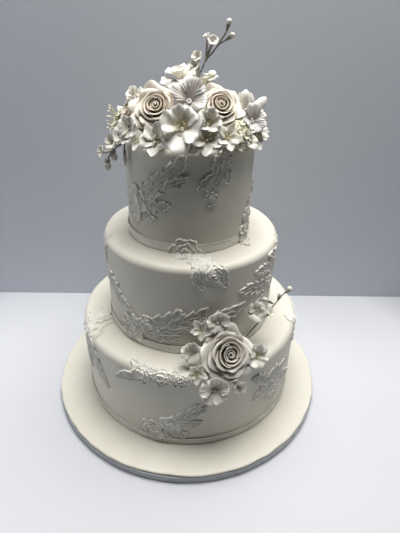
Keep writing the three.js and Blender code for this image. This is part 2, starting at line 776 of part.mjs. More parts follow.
function boardGroup() {
  const group = new THREE.Group();
  const drumRadius = board.radius - gap - ribbon.thickness;
  const card = turned([[0, 0], [drumRadius, 0], [drumRadius, board.drum], [0, board.drum]], board.facets);
  const edge = roundedEdge(board.radius, board.icing, board.edge, edgeRound.steps);
  const covering = turned([[0, 0], [board.radius, 0], ...edge, [0, board.icing]], board.facets);
  const around = band(drumRadius, board.drum - gap, board.facets);
  const icing = mesh("board_icing", covering, icingColour, sheen.icing);
  icing.position.z = board.drum + gap;
  const edging = mesh("board_ribbon", around, boardRibbonColour, sheen.ribbon);
  edging.position.z = gap;
  group.add(mesh("board_drum", card, cardColour, sheen.card), icing, edging);
  return group;
}

function tierGroup(tier) {
  const { radius, height } = tier;
  const edge = roundedEdge(radius, height, edgeRound.radius, edgeRound.steps);
  const body = turned([[0, 0], [radius, 0], ...edge, [0, height]], tier.facets);
  const around = band(radius, ribbon.height, tier.facets);
  const group = new THREE.Group();
  group.position.set(tier.shift, 0, tier.base);
  group.add(mesh("tier_" + tier.name, body, icingColour, sheen.icing));
  group.add(mesh("ribbon_" + tier.name, around, ribbonColour, sheen.ribbon));
  return group;
}

function laceGroup() {
  const group = new THREE.Group();
  const skin = grownStack(gap + lace.thickness).subtract(grownStack(gap));
  const centre = new THREE.Vector3();
  for (const [name, patch] of Object.entries(laces)) {
    const cut = largestBody(skin.intersect(prismsOf(patch)));
    placedMesh(name, cut, centre, group, laceColour, sheen.lace);
  }
  return group;
}

// A low dome of icing that the flowers are pushed into.
function moundSolid({ radius, height, facets, steps }, place, offset = 0) {
  const profile = Array.from({ length: steps + 1 }, (_, i) => {
    const angle = ((Math.PI / 2) * i) / steps;
    return [(radius + offset) * Math.cos(angle), (height + offset) * Math.sin(angle)];
  });
  profile[steps][0] = 0;
  const foot = offset ? [[0, -offset], [radius + offset, -offset]] : [[0, 0]];
  return solid(turned([...foot, ...profile], facets).translate(place.x, place.y, place.z));
}

// All that the flowers keep clear of: the icing, the mounds, and the lace where it lies.
function keptClear() {
  const laced = grownStack(2 * gap + lace.thickness).intersect(joined(Object.values(laces).map(prismsOf)));
  const mounds = [moundSolid(topMound, mountAt.top, gap), moundSolid(sideMound, mountAt.side, gap)];
  return joined([grownStack(gap), laced, ...mounds]);
}

function flowerGroups() {
  const groups = { top: new THREE.Group(), side: new THREE.Group() };
  groups.top.position.copy(mountAt.top);
  groups.side.position.copy(mountAt.side);
  const clear = keptClear();
  const sideMoundSolid = moundSolid(sideMound, mountAt.side).subtract(grownStack(gap));
  const topMoundSolid = moundSolid(topMound, mountAt.top);
  placedMesh("mound_top", topMoundSolid, mountAt.top, groups.top, icingColour, sheen.icing);
  placedMesh("mound_side", largestBody(sideMoundSolid), mountAt.side, groups.side, icingColour, sheen.icing);
  const all = Object.values(flowers);
  for (const [name, flower] of Object.entries(flowers)) {
    const beyond = all.filter((other) => crowding(flower, other)).map((other) => spaceBeyond(flower, other));
    const cut = largestBody(cutBy(flowerSolid(flower), [clear, ...beyond]));
    const group = flower.at.place.z > topTier.base ? groups.top : groups.side;
    placedMesh(name, cut, flower.at.place, group, forms[flower.form].colour, sheen.petal);
  }
  const taken = [clear, ...all.map(flowerRoom)];
  for (const [name, make] of Object.entries(sprays)) {
    const group = name === "sprig_rising" ? groups.side : groups.top;
    const cut = largestBody(cutBy(make(), taken));
    placedMesh(name, cut, group.position, group, stemColour, sheen.stem);
  }
  return [groups.top, groups.side];
}

const cake = new THREE.Group();
cake.add(boardGroup(), ...tiers.map(tierGroup), laceGroup(), ...flowerGroups());

export default cake;
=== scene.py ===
import math

import bpy
import numpy as np
from mathutils import Matrix, Vector


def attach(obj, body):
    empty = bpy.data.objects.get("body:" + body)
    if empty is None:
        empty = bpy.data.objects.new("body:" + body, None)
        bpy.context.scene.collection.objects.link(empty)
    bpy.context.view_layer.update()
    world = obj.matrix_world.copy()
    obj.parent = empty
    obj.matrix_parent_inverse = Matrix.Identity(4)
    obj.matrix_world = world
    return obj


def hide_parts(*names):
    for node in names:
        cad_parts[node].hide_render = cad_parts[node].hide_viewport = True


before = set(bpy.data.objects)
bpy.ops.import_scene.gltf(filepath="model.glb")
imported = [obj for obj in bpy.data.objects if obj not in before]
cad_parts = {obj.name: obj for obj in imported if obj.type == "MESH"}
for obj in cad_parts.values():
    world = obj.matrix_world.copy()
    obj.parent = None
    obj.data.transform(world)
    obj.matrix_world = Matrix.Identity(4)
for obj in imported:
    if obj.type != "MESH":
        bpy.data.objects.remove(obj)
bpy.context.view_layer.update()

MM = 0.001
BODY = "root"
UP = Vector((0, 0, 1))
GOLDEN_ANGLE = math.pi * (3 - math.sqrt(5))
ANY_TURN = (0, 6.3)
FIRST_SEED = {"ribbons": 31, "flowers": 100, "sprigs": 200}

# The part's driving dimensions.
GAP = 0.3
BOARD = {"radius": 203.0, "drum": 12.0, "icing": 4.0}
RIBBON = {"height": 12.0, "thickness": 0.6}
EDGE_ROUND = 8.0
TIERS = [
    {"name": "bottom", "radius": 157.0, "height": 126.0, "shift": 2.5},
    {"name": "middle", "radius": 116.6, "height": 127.0, "shift": 1.6},
    {"name": "top", "radius": 80.3, "height": 124.0, "shift": -1.5},
]
SIDE_MOUNT = {"turn": 17.0, "reach": 137.0}

base = BOARD["drum"] + GAP + BOARD["icing"] + GAP
for tier in TIERS:
    tier["base"] = base
    base += tier["height"] + GAP
CAKE_TOP = base
for tier, above in zip(TIERS, TIERS[1:]):
    tier["ledge"] = tier["radius"] - above["radius"]
TIERS[-1]["ledge"] = TIERS[-1]["radius"]


def direction(turn, rise=0.0):
    """The unit vector at a turn in degrees from the front towards +X and a rise over the horizon."""
    turn, rise = math.radians(turn), math.radians(rise)
    return Vector((math.cos(rise) * math.sin(turn), -math.cos(rise) * math.cos(turn), math.sin(rise)))


SIDE_AXIS = Vector((TIERS[1]["shift"], 0, TIERS[1]["base"]))
MOUNDS = {
    "mound_top": {"place": Vector((TIERS[2]["shift"], 0, CAKE_TOP)), "radius": 57.0, "height": 45.0,
                  "blossoms": 54, "seed": 61},
    "mound_side": {"place": SIDE_AXIS + direction(SIDE_MOUNT["turn"]) * SIDE_MOUNT["reach"],
                   "radius": 19.5, "height": 30.0, "blossoms": 9, "seed": 62},
}

# ---------------------------------------------------------------- shapes


def smoothstep(low, high, value):
    step = np.clip((value - low) / (high - low), 0, 1)
    return step * step * (3 - 2 * step)


def bump(offset, half_width):
    """1 on the line, falling smoothly to 0 at half_width to either side."""
    return smoothstep(1, 0, np.abs(offset) / half_width)


def unit(vectors):
    return vectors / np.maximum(np.linalg.norm(vectors, axis=-1, keepdims=True), 1e-9)


def circle(sides):
    return np.linspace(0, 2 * math.pi, sides, endpoint=False)


def polar(radius, angle, height):
    """Points at radii and angles about Z and at heights, which are spread over each other."""
    x, y = radius * np.cos(angle), radius * np.sin(angle)
    return np.stack(np.broadcast_arrays(x, y, height), axis=-1)


def grid_quads(rows, columns, wrap=False):
    """The quads of a grid of points, whose last column joins the first if it wraps."""
    last = columns if wrap else columns - 1
    i, j = (part.ravel() for part in np.meshgrid(np.arange(rows - 1), np.arange(last), indexing="ij"))
    k = (j + 1) % columns
    return np.stack([i * columns + j, (i + 1) * columns + j, (i + 1) * columns + k, i * columns + k], axis=1)


def shape(points, faces, tone):
    points = np.asarray(points, float).reshape(-1, 3)
    tone = np.broadcast_to(np.ravel(tone), len(points))
    return points, [list(map(int, face)) for face in faces], np.asarray(tone, float)


def merged(shapes):
    points, faces, tones, start = [], [], [], 0
    for part_points, part_faces, part_tone in shapes:
        points.append(part_points)
        tones.append(part_tone)
        faces += [[start + corner for corner in face] for face in part_faces]
        start += len(part_points)
    return np.concatenate(points), faces, np.concatenate(tones)


def moved(made, matrix):
    points, faces, tone = made
    matrix = np.array(matrix)
    return points @ matrix[:3, :3].T + matrix[:3, 3], faces, tone


def shifted(made, *offset):
    return moved(made, Matrix.Translation(offset))


def sheet(grid, thickness, tone):
    """A closed thin solid: the grid is its face, and its back lies a thickness behind."""
    size = grid.shape[:2]
    count = size[0] * size[1]
    back = grid - unit(np.cross(np.gradient(grid, axis=0), np.gradient(grid, axis=1))) * thickness
    quads = grid_quads(*size)
    number = np.arange(count).reshape(size)
    rim = np.concatenate([number[:-1, 0], number[-1, :-1], number[:0:-1, -1], number[0, :0:-1]])
    following = np.roll(rim, -1)
    sides = np.stack([following, rim, rim + count, following + count], axis=1)
    faces = np.concatenate([quads, quads[:, ::-1] + count, sides])
    return shape(np.stack([grid, back]), faces, np.tile(np.broadcast_to(tone, size).ravel(), 2))


def lathe(profile, sides, shift=0.0):
    """Rings of points: a profile of radii and heights turned about Z."""
    profile = np.asarray(profile, float)
    return polar(profile[:, :1], circle(sides), profile[:, 1:]) + [shift, 0, 0]


def closed_rings(rings, first, last, tone=0.0):
    """Rings of points, from the lowest up, closed by a fan to a point at each end."""
    count, sides = rings.shape[:2]
    low, high, top = count * sides, count * sides + 1, (count - 1) * sides
    faces = list(grid_quads(count, sides, wrap=True)[:, ::-1])
    faces += [[low, (i + 1) % sides, i] for i in range(sides)]
    faces += [[high, top + i, top + (i + 1) % sides] for i in range(sides)]
    tone = np.broadcast_to(tone, count + 2)
    tones = np.concatenate([np.repeat(tone[1:-1], sides), tone[[0, -1]]])
    return shape(np.concatenate([rings.reshape(-1, 3), [first], [last]]), faces, tones)


def closed_band(rings, tone):
    """Rings of points whose last joins the first."""
    count, sides = rings.shape[:2]
    return shape(rings, grid_quads(count + 1, sides, wrap=True)[:, ::-1] % (count * sides), tone)


def turned(profile, sides, tone):
    """A profile turned about Z, whose ends lie on the axis."""
    return closed_rings(lathe(profile[1:-1], sides), (0, 0, profile[0][1]), (0, 0, profile[-1][1]), tone)


def catmull_rom(points, steps):
    points = np.array([tuple(point) for point in points], float)
    padded = np.concatenate([[2 * points[0] - points[1]], points, [2 * points[-1] - points[-2]]])
    spans = []
    for a, b, c, d in zip(padded, padded[1:], padded[2:], padded[3:]):
        t = np.linspace(0, 1, steps, endpoint=False)[:, None]
        spans.append(0.5 * (2 * b + (c - a) * t + (2 * a - 5 * b + 4 * c - d) * t**2
                            + (3 * b - a - 3 * c + d) * t**3))
    return np.concatenate(spans + [points[-1:]])


def tube(points, radius, sides=8, steps=5, tone=0.0):
    """A rounded wire through points, its ends closed."""
    path = catmull_rom(points, steps)
    along = unit(np.gradient(path, axis=0))
    side = unit(np.cross(along, np.where(np.abs(along[:, 2:]) > 0.9, [[1.0, 0, 0]], [[0, 0, 1.0]])))
    angles = circle(sides)[None, :, None]
    ring = np.cos(angles) * side[:, None] + np.sin(angles) * np.cross(along, side)[:, None]
    return closed_rings(path[:, None] + radius * ring, path[0], path[-1], tone)


SHARP_ANGLE = 62.0


def add_object(name, data):
    made = bpy.data.objects.new(name, data)
    bpy.context.scene.collection.objects.link(made)
    return made


def new_mesh(name, points, faces, material):
    mesh = bpy.data.meshes.new(name)
    mesh.from_pydata(points, [], faces)
    mesh.materials.append(material)
    return mesh


def make_piece(name, made, material, node=None):
    """A piece of the cake that rides on its body and stands for the CAD node, if one is named."""
    points, faces, tone = made
    mesh = new_mesh(name, (points * MM).tolist(), faces, material)
    mesh.shade_smooth()
    mesh.set_sharp_from_angle(angle=math.radians(SHARP_ANGLE))
    mesh.attributes.new("tone", "FLOAT", "POINT").data.foreach_set("value", tone.astype(np.float32))
    mesh.validate()
    piece = add_object(name, mesh)
    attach(piece, BODY)
    if node:
        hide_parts(node)


def make_fine(node, made, material, slot):
    """The fine piece that stands for one CAD node and is named after it."""
    make_piece(f"{node}_fine", made, material, node)


def wobble(points, wavelength, seed, waves=7):
    """Smooth noise between about -1 and 1 over points, the same every run."""
    draw = np.random.default_rng(seed)
    total = np.zeros(points.shape[:-1])
    for _ in range(waves):
        heading = unit(draw.normal(size=3))
        rate = 2 * math.pi / (wavelength * draw.uniform(0.7, 1.5))
        total += np.sin(points @ heading * rate + draw.uniform(0, 2 * math.pi))
    return total / math.sqrt(waves)


def unevenness(points, waves):
    """What a hand leaves uneven: waves of a height, a wavelength and a seed each."""
    return sum(height * wobble(points, wavelength, seed) for height, wavelength, seed in waves)


# ---------------------------------------------------------------- materials

PETAL_TONE = 0.8
GLOW = {"Subsurface Radius": (1.0, 0.9, 0.8), "Subsurface Scale": 0.003}
# A paste's mottling, as its scale, where on the ramp it is clear and its darkest colour, and its
# grain, as its scale, strength and depth.
COARSE = {"mottle": (28.0, 0.7, (0.955, 0.95, 0.94)), "grain": (900.0, 0.25, 0.0004)}
FINE = {"mottle": (120.0, 0.65, (0.93, 0.92, 0.91)), "grain": (1300.0, 0.3, 0.0003)}
NOISE_DETAIL = 4.0
WEAVE = {"Scale": 700.0, "Distortion": 1.5}


def new_material(name):
    material = bpy.data.materials.new(name)
    material.use_nodes = True
    return material, material.node_tree, material.node_tree.nodes["Principled BSDF"]


def set_inputs(tree, node, values):
    """A node's inputs, each linked to another node's output or set to a plain value."""
    for name, value in values.items():
        if isinstance(value, bpy.types.NodeSocket):
            tree.links.new(value, node.inputs[name])
        else:
            node.inputs[name].default_value = value


def add_node(tree, kind, output, inputs=(), **settings):
    """The named output of a new node, with its settings and its inputs set."""
    node = tree.nodes.new(kind)
    for name, value in settings.items():
        setattr(node, name, value)
    set_inputs(tree, node, dict(inputs))
    return node.outputs[output]


def object_place(tree):
    return add_node(tree, "ShaderNodeTexCoord", "Object")


def object_noise(tree, scale):
    inputs = {"Scale": scale, "Detail": NOISE_DETAIL, "Vector": object_place(tree)}
    return add_node(tree, "ShaderNodeTexNoise", "Fac", inputs)


def colour_ramp(tree, factor, stops):
    ramp = tree.nodes.new("ShaderNodeValToRGB")
    elements = ramp.color_ramp.elements
    while len(elements) < len(stops):
        elements.new(0.5)
    for element, (position, colour) in zip(elements, stops):
        element.position = position
        element.color = (*colour, 1)
    tree.links.new(factor, ramp.inputs["Fac"])
    return ramp.outputs["Color"]


def uneven_colour(tree, colour, darkest, scale):
    darker = tuple(darkest * part for part in colour)
    return colour_ramp(tree, object_noise(tree, scale), [(0.3, darker), (0.7, colour)])


def mixed_colour(tree, inputs, blend="MIX"):
    return add_node(tree, "ShaderNodeMix", "Result", inputs, data_type="RGBA", blend_type=blend)


def raised(tree, height, strength, distance):
    inputs = {"Strength": strength, "Distance": distance, "Height": height}
    return add_node(tree, "ShaderNodeBump", "Normal", inputs)


def paste_material(name, deep, shown, roughness, glow=0.0, accent=None, finish=FINE):
    """Sugar paste whose colour runs from deep to shown with the tone, mottled and finely grained.

    Tones past PETAL_TONE go on to the accent, which colours stamens."""
    material, tree, shader = new_material(name)
    stops = [(0.0, deep), (1.0, shown)]
    if accent:
        stops = [(0.0, deep), (PETAL_TONE, shown), (PETAL_TONE + 0.05, shown), (1.0, accent)]
    toned = colour_ramp(tree, add_node(tree, "ShaderNodeAttribute", "Fac", attribute_name="tone"), stops)
    scale, clear, darker = finish["mottle"]
    mottled = colour_ramp(tree, object_noise(tree, scale), [(0.3, darker), (clear, (1.0, 1.0, 1.0))])
    grain, strength, depth = finish["grain"]
    set_inputs(tree, shader, {
        "Base Color": mixed_colour(tree, {"Factor": 1.0, "A": toned, "B": mottled}, "MULTIPLY"),
        "Roughness": roughness,
        "Subsurface Weight": glow,
        "Normal": raised(tree, object_noise(tree, grain), strength, depth),
        **GLOW,
    })
    return material


def ribbon_material(name, colour, roughness):
    """Satin: a fine weave across the band with a soft streaky sheen."""
    material, tree, shader = new_material(name)
    inputs = {**WEAVE, "Vector": object_place(tree)}
    weave = add_node(tree, "ShaderNodeTexWave", "Fac", inputs, bands_direction="Z")
    set_inputs(tree, shader, {
        "Base Color": uneven_colour(tree, colour, 0.88, 60.0),
        "Roughness": roughness,
        "Sheen Weight": 0.25,
        "Normal": raised(tree, weave, 0.3, 0.0002),
    })
    return material


STAMEN = (0.68, 0.66, 0.36)
# The icing, lace, rose and petal pastes run from painted shade in their deep colour to the lit paste in their
# shown colour; each piece's tone picks where shade or highlight is painted.
ICING = paste_material("rolled_icing", (0.71, 0.69, 0.62), (0.80, 0.78, 0.71), 0.5, finish=COARSE)
# Its deep colour paints the crack's bottom near black as shade.
CRACK_SHADE_ICING = paste_material("icing_with_painted_crack_shade", (0.12, 0.115, 0.10), (0.80, 0.78, 0.71), 0.6, finish=COARSE)
CARD = paste_material("board_card", (0.60, 0.60, 0.59), (0.68, 0.68, 0.67), 0.6, finish=COARSE)
LACE_PASTE = paste_material("lace_paste", (0.56, 0.545, 0.49), (0.97, 0.96, 0.92), 0.5)
ROSE_PASTE = paste_material("rose_paste", (0.54, 0.44, 0.34), (0.90, 0.865, 0.80), 0.42, 0.2)
SILVER_PASTE = paste_material("silver_rose_paste", (0.50, 0.45, 0.38), (0.91, 0.895, 0.85), 0.38, 0.15)
PETAL_PASTE = paste_material("petal_paste", (0.56, 0.525, 0.42), (0.95, 0.94, 0.895), 0.42, 0.3, STAMEN)
# Its mauve grey deep colour is painted shade and a painted reflection of the bluish backdrop.
MAUVE_SHADE_PASTE = paste_material("petal_paste_mauve_shade", (0.55, 0.51, 0.51), (0.95, 0.935, 0.91), 0.38, 0.45, STAMEN)
FILLER_PASTE = paste_material("filler_paste", (0.60, 0.58, 0.34), (0.90, 0.89, 0.80), 0.5)
STEM_PASTE = paste_material("stem_tape", (0.22, 0.215, 0.19), (0.80, 0.78, 0.72), 0.55)
SATIN = ribbon_material("ivory_satin", (0.86, 0.85, 0.80), 0.36)
# The board's ribbon: partly its own silver grey, partly painted shade and a painted blue reflection of the
# floor.
SHADED_GREY_SATIN = ribbon_material("grey_satin_with_painted_shade", (0.50, 0.52, 0.55), 0.34)

# ---------------------------------------------------------------- the stack and its surface

PATH_STEP = 0.4
CORNER_BLEND = 1.4
SHIFT_BLEND = 6.0
ICING_WAVES = [(0.45, 95.0, 11), (0.1, 24.0, 12)]


def stack_path():
    """The icing's outline from the lowest tier's foot to the cake's top: path, radius, height, shift."""
    rows, start = [], 0.0
    for tier in TIERS:
        for along in np.arange(0, tier["height"] + tier["ledge"], PATH_STEP):
            angle = np.clip((along - tier["height"] + EDGE_ROUND) / (2 * EDGE_ROUND), 0, 1) * math.pi / 2
            on_ledge = max(0.0, along - tier["height"] - EDGE_ROUND)
            on_wall = min(along, tier["height"] - EDGE_ROUND)
            radius = tier["radius"] - EDGE_ROUND * (1 - math.cos(angle)) - on_ledge
            height = tier["base"] + on_wall + EDGE_ROUND * math.sin(angle)
            rows.append((start + along, radius, height, tier["shift"]))
        start += tier["height"] + tier["ledge"]
    return np.array(rows).T


def softened(values, width):
    """Values along the path with their corners rounded over a width in millimetres."""
    reach = int(4 * width / PATH_STEP)
    weights = np.exp(-0.5 * (np.arange(-reach, reach + 1) * PATH_STEP / width) ** 2)
    return np.convolve(np.pad(values, reach, mode="edge"), weights / weights.sum(), mode="valid")


PATH, PATH_RADIUS, PATH_HEIGHT, PATH_SHIFT = stack_path()
LEVEL_START = [sum(t["height"] + t["ledge"] for t in TIERS[:level]) for level in range(len(TIERS))]
SOFT_RADIUS = softened(PATH_RADIUS, CORNER_BLEND)
SOFT_HEIGHT = softened(PATH_HEIGHT, CORNER_BLEND)
SOFT_SHIFT = softened(PATH_SHIFT, SHIFT_BLEND)
SLOPE_RADIUS, SLOPE_HEIGHT = np.gradient(SOFT_RADIUS, PATH), np.gradient(SOFT_HEIGHT, PATH)
SLOPE = np.hypot(SLOPE_RADIUS, SLOPE_HEIGHT)
SURFACE = (SOFT_RADIUS, SOFT_HEIGHT, SOFT_SHIFT, SLOPE_HEIGHT / SLOPE, -SLOPE_RADIUS / SLOPE)


def on_stack(level, turn, height, lift):
    """Points a lift above the icing, at turns in degrees and heights over a tier's base."""
    path = LEVEL_START[level] + height
    radius, level_height, shift, out, rise = (np.interp(path, PATH, values)[..., None] for values in SURFACE)
    angle = np.radians(turn)
    heading = np.stack([np.sin(angle), -np.cos(angle), np.zeros_like(angle)], axis=-1)
    skyward = np.array([0.0, 0.0, 1.0])
    place = heading * radius + skyward * level_height + [1.0, 0.0, 0.0] * shift
    lift = lift + unevenness(place, ICING_WAVES)
    return place + (heading * out + skyward * rise) * lift[..., None]


def path_radius(level, height):
    return np.interp(LEVEL_START[level] + height, PATH, SOFT_RADIUS)


CLEARANCE = 0.4


def off_icing(made):
    """A shape whose points inside the stack are pushed out through its nearest face."""
    points = made[0].copy()
    for tier in reversed(TIERS):
        across = points[:, 0] - tier["shift"]
        radius = np.maximum(np.hypot(across, points[:, 1]), 1e-6)
        sideways = tier["radius"] + CLEARANCE - radius
        upwards = tier["base"] + tier["height"] + CLEARANCE - points[:, 2]
        inside = (sideways > 0) & (upwards > 0) & (points[:, 2] > tier["base"])
        outwards = inside & (sideways < upwards)
        grown = 1 + np.where(outwards, sideways / radius, 0)
        points[:, 0] = tier["shift"] + across * grown
        points[:, 1] *= grown
        points[:, 2] += np.where(inside & ~outwards, upwards, 0)
    return (points, *made[1:])


# ---------------------------------------------------------------- tiers, ribbons and board

ROUND_SIDES = 200
EDGE_STEPS = 9
INNER_RING = 3.0
FOOT_HOLD = 14.0
# The tiers' icing is painted in shade: walls darkest, foot between, tops at the full lit colour.
TIER_SHADE_TONES = {"foot": 0.5, "wall": 0.3, "top": 1.0}
BOARD_TONES = {"icing": 0.8, "card": 0.5}
CARD_RADIUS = BOARD["radius"] - GAP - RIBBON["thickness"]
# A ribbon's section: how far its middle bows out, its upper edge stands out and its lower edge
# draws in, over what height each edge does so, and how far it may ripple inwards.
BAND = {"bow": 0.15, "flare": 0.5, "flare_from": 1.6, "draw": 0.4, "draw_to": 1.2, "least": -0.2, "tone": 0.5}
BAND_RIPPLE = (0.22, 32.0)
# The board's rim: between what distances from its edge it grows uneven, how far it drops, and its
# waves to the side and upwards.
BOARD_RIM = {
    "width": (16, 2), "drop": 0.3,
    "sideways": [(0.5, 70, 21), (0.35, 17, 22)], "upwards": [(0.3, 45, 23)],
}


def spaced(start, end, step):
    return np.linspace(start, end, max(2, int(abs(end - start) / step) + 1))


def tier_shape(tier):
    radius, low = tier["radius"], tier["base"]
    high = low + tier["height"]
    angles = np.linspace(0, math.pi / 2, EDGE_STEPS)[1:]
    foot = [(r, low) for r in spaced(INNER_RING, radius, 25.0)[:-1]]
    wall = [(radius, z) for z in spaced(low, high - EDGE_ROUND, 5.0)]
    edge = [(radius - EDGE_ROUND * (1 - math.cos(a)), high - EDGE_ROUND * (1 - math.sin(a))) for a in angles]
    top = [(r, high) for r in spaced(radius - EDGE_ROUND, INNER_RING, 5.0)[1:]]
    profile = np.array(foot + wall + edge + top)
    rings = lathe(profile, ROUND_SIDES, tier["shift"])
    slope = unit(np.gradient(profile, axis=0))
    normals = polar(slope[:, 1:], circle(ROUND_SIDES), -slope[:, :1])
    held = smoothstep(0, FOOT_HOLD, rings[..., 2] - low)
    rings += normals * (unevenness(rings, ICING_WAVES) * held)[..., None]
    tone = [TIER_SHADE_TONES["foot"]] * (len(foot) + 1) + [TIER_SHADE_TONES["wall"]] * len(wall)
    tone += [TIER_SHADE_TONES["top"]] * (len(edge) + len(top) + 1)
    return closed_rings(rings, (tier["shift"], 0, low), (tier["shift"], 0, high), tone)


def band_shape(radius, low, height, shift, seed):
    """A ribbon round a tier: a thin closed band that ripples a little along its upper edge."""
    inner, outer = radius + GAP, radius + GAP + RIBBON["thickness"]
    flare_from, draw_to = height - BAND["flare_from"], BAND["draw_to"]
    low_edge, high_edge = np.linspace(0, draw_to, 3), height - np.array([1.0, 0.4, 0])
    rise = np.concatenate([low_edge, np.linspace(2 * draw_to, flare_from, 6), high_edge])
    bowed = outer + BAND["bow"] * np.sin(math.pi * rise / height)
    bowed += BAND["flare"] * smoothstep(flare_from, flare_from + 1.0, rise)
    bowed -= BAND["draw"] * smoothstep(draw_to, 0, rise)
    rings = lathe([(inner, low)] + list(zip(bowed, low + rise)) + [(inner, low + height)], ROUND_SIDES, shift)
    share = np.clip((rings[..., 2] - low) / height, 0, 1)
    ripple = np.maximum(unevenness(rings, [(*BAND_RIPPLE, seed)]), BAND["least"])
    rings += unit(rings * [1, 1, 0] - [shift, 0, 0]) * (ripple * share)[..., None]
    return closed_band(rings, BAND["tone"])


def board_icing_shape():
    radius, low = BOARD["radius"], BOARD["drum"] + GAP
    high, half = low + BOARD["icing"], BOARD["icing"] / 2
    angles = np.linspace(-math.pi / 2, math.pi / 2, EDGE_STEPS)
    foot = [(r, low) for r in spaced(INNER_RING, radius - half, 30.0)[:-1]]
    edge = [(radius - half * (1 - math.cos(a)), low + half * (1 + math.sin(a))) for a in angles]
    top = [(r, high) for r in spaced(radius - half, INNER_RING, 6.0)[1:]]
    rings = lathe(foot + edge + top, ROUND_SIDES)
    inner, outer = BOARD_RIM["width"]
    rim = smoothstep(radius - inner, radius - outer, np.hypot(rings[..., 0], rings[..., 1]))
    rings[..., :2] *= (1 + unevenness(rings, BOARD_RIM["sideways"]) * rim / radius)[..., None]
    upwards = (unevenness(rings, BOARD_RIM["upwards"]) - BOARD_RIM["drop"]) * (rings[..., 2] > low + half)
    rings[..., 2] += rim * upwards
    return closed_rings(rings, (0, 0, low), (0, 0, high), BOARD_TONES["icing"])


def board_card_shape():
    radius, high = CARD_RADIUS, BOARD["drum"]
    profile = [(0, 0), (radius - 1, 0), (radius, 1), (radius, high - 1), (radius - 1, high), (0, high)]
    return turned(profile, ROUND_SIDES, BOARD_TONES["card"])


def make_stack():
    make_piece("board_card_fine", board_card_shape(), CARD, "board_drum")
    make_fine("board_icing", board_icing_shape(), ICING, "sugarpaste")
    edging = band_shape(CARD_RADIUS, GAP, BOARD["drum"] - GAP, 0.0, FIRST_SEED["ribbons"])
    make_fine("board_ribbon", edging, SHADED_GREY_SATIN, "board_ribbon")
    for number, tier in enumerate(TIERS, 1):
        make_fine(f"tier_{tier['name']}", tier_shape(tier), ICING, "sugarpaste")
        seed = FIRST_SEED["ribbons"] + number
        band = band_shape(tier["radius"], tier["base"], RIBBON["height"], tier["shift"], seed)
        make_fine(f"ribbon_{tier['name']}", band, SATIN, "satin_ribbon")


# ---------------------------------------------------------------- lace

# Each applique's tier, and its motifs in the order they are laid: a bloom's turn, height and radius,
# or a leaf's turn and height at its foot and at its tip, and its width. Turns are in degrees.
LACES = {
    "lace_top_left": (2, [
        (-46, 54, -25, 99, 14), (-42, 56, -2, 121, 19), (-20, 80, -1, 97, 10), (-46, 52, -14, 62, 15),
        (-50, 46, -28, 41, 12), (-54, 38, 14), (-51, 56, 21),
    ]),
    "lace_top_right": (2, [
        (27, 108, 14), (24, 104, 8, 80, 11), (28, 106, 34, 84, 11), (26, 106, 16, 68, 13), (17.5, 69, 9),
    ]),
    "lace_top_edge": (2, [(64, 26, 76, 74, 12), (64, 32, 12), (60, 14, 14), (60, 10, 52, -14, 13)]),
    "lace_top_back": (2, [
        (172, 60, 17), (166, 62, 140, 104, 15), (178, 56, 208, 72, 14), (172, 60, 180, 24, 13),
    ]),
    "lace_middle_front": (1, [
        (-3, 165, 20), (7, 146, 17), (3, 142, 7, 98, 15), (14, 122, 14), (15, 126, 23, 98, 13),
    ]),
    "lace_middle_left": (1, [
        (-72, 136, -74, 80, 17), (-68, 78, 14), (-72, 80, -51, 77, 14), (-70, 78, -38, 50, 16),
    ]),
    "lace_middle_low": (1, [
        (-26, 28, -5, 71, 17), (-12, 46, 22, 48, 16), (-13, 36, 11, 73, 16), (12, 48, 36, 68, 15),
        (-22, 18, -5, 31, 11), (-22, 28, -4, 40, 10), (-26, 36, 16), (-39, 24, 21),
    ]),
    "lace_middle_right": (1, [
        (78, 130, 62, 70, 17), (60, 78, 30, 85, 15), (70, 98, 42, 104, 12), (74, 108, 56, 117, 11),
        (70, 76, 58, 112, 14), (62, 72, 16), (62, 66, 43, 45, 13),
    ]),
    "lace_middle_back": (1, [
        (150, 46, 17), (152, 50, 128, 84, 16), (148, 44, 124, 26, 14), (150, 50, 186, 70, 17),
        (188, 66, 15), (188, 66, 218, 104, 17), (188, 62, 214, 40, 15),
    ]),
    "lace_bottom_left": (0, [
        (-73, 148, 18), (-65, 124, 17), (-62, 122, -44, 60, 18), (-66, 116, -61, 64, 14),
    ]),
    "lace_bottom_edge": (0, [
        (-22, 120, -37, 94, 15), (-22, 118, 14), (-13, 120, 15), (-4, 121, 14), (-14, 130, -30, 138, 13),
        (-8, 130, 6, 138, 14),
    ]),
    "lace_bottom_front": (0, [
        (-8, 36, 5, 79, 16), (-8, 38, 7, 46, 12), (-8, 26, 1, 20, 11), (-2, 52, 10, 76, 9),
        (-13.5, 15, 14), (-19, 26, 16), (-8.7, 38, 17),
    ]),
    "lace_bottom_right": (0, [
        (45, 78, 17), (44, 80, 30, 102, 15), (44, 82, 48, 101, 14), (46, 70, 32, 58, 14), (47, 48, 15),
        (46, 76, 66, 50, 17), (50, 78, 57, 97, 13), (100, 117, 84, 105, 13), (86, 106, 70, 96, 12),
        (76, 130, 13),
    ]),
    "lace_bottom_back": (0, [
        (140, 60, 18), (142, 62, 120, 104, 17), (138, 56, 118, 34, 15), (140, 62, 172, 84, 18),
        (174, 84, 17), (174, 84, 206, 54, 18), (207, 52, 17), (207, 54, 232, 92, 16),
    ]),
}
LACE_CELL = 0.84
LACE_MARGIN = 4.0
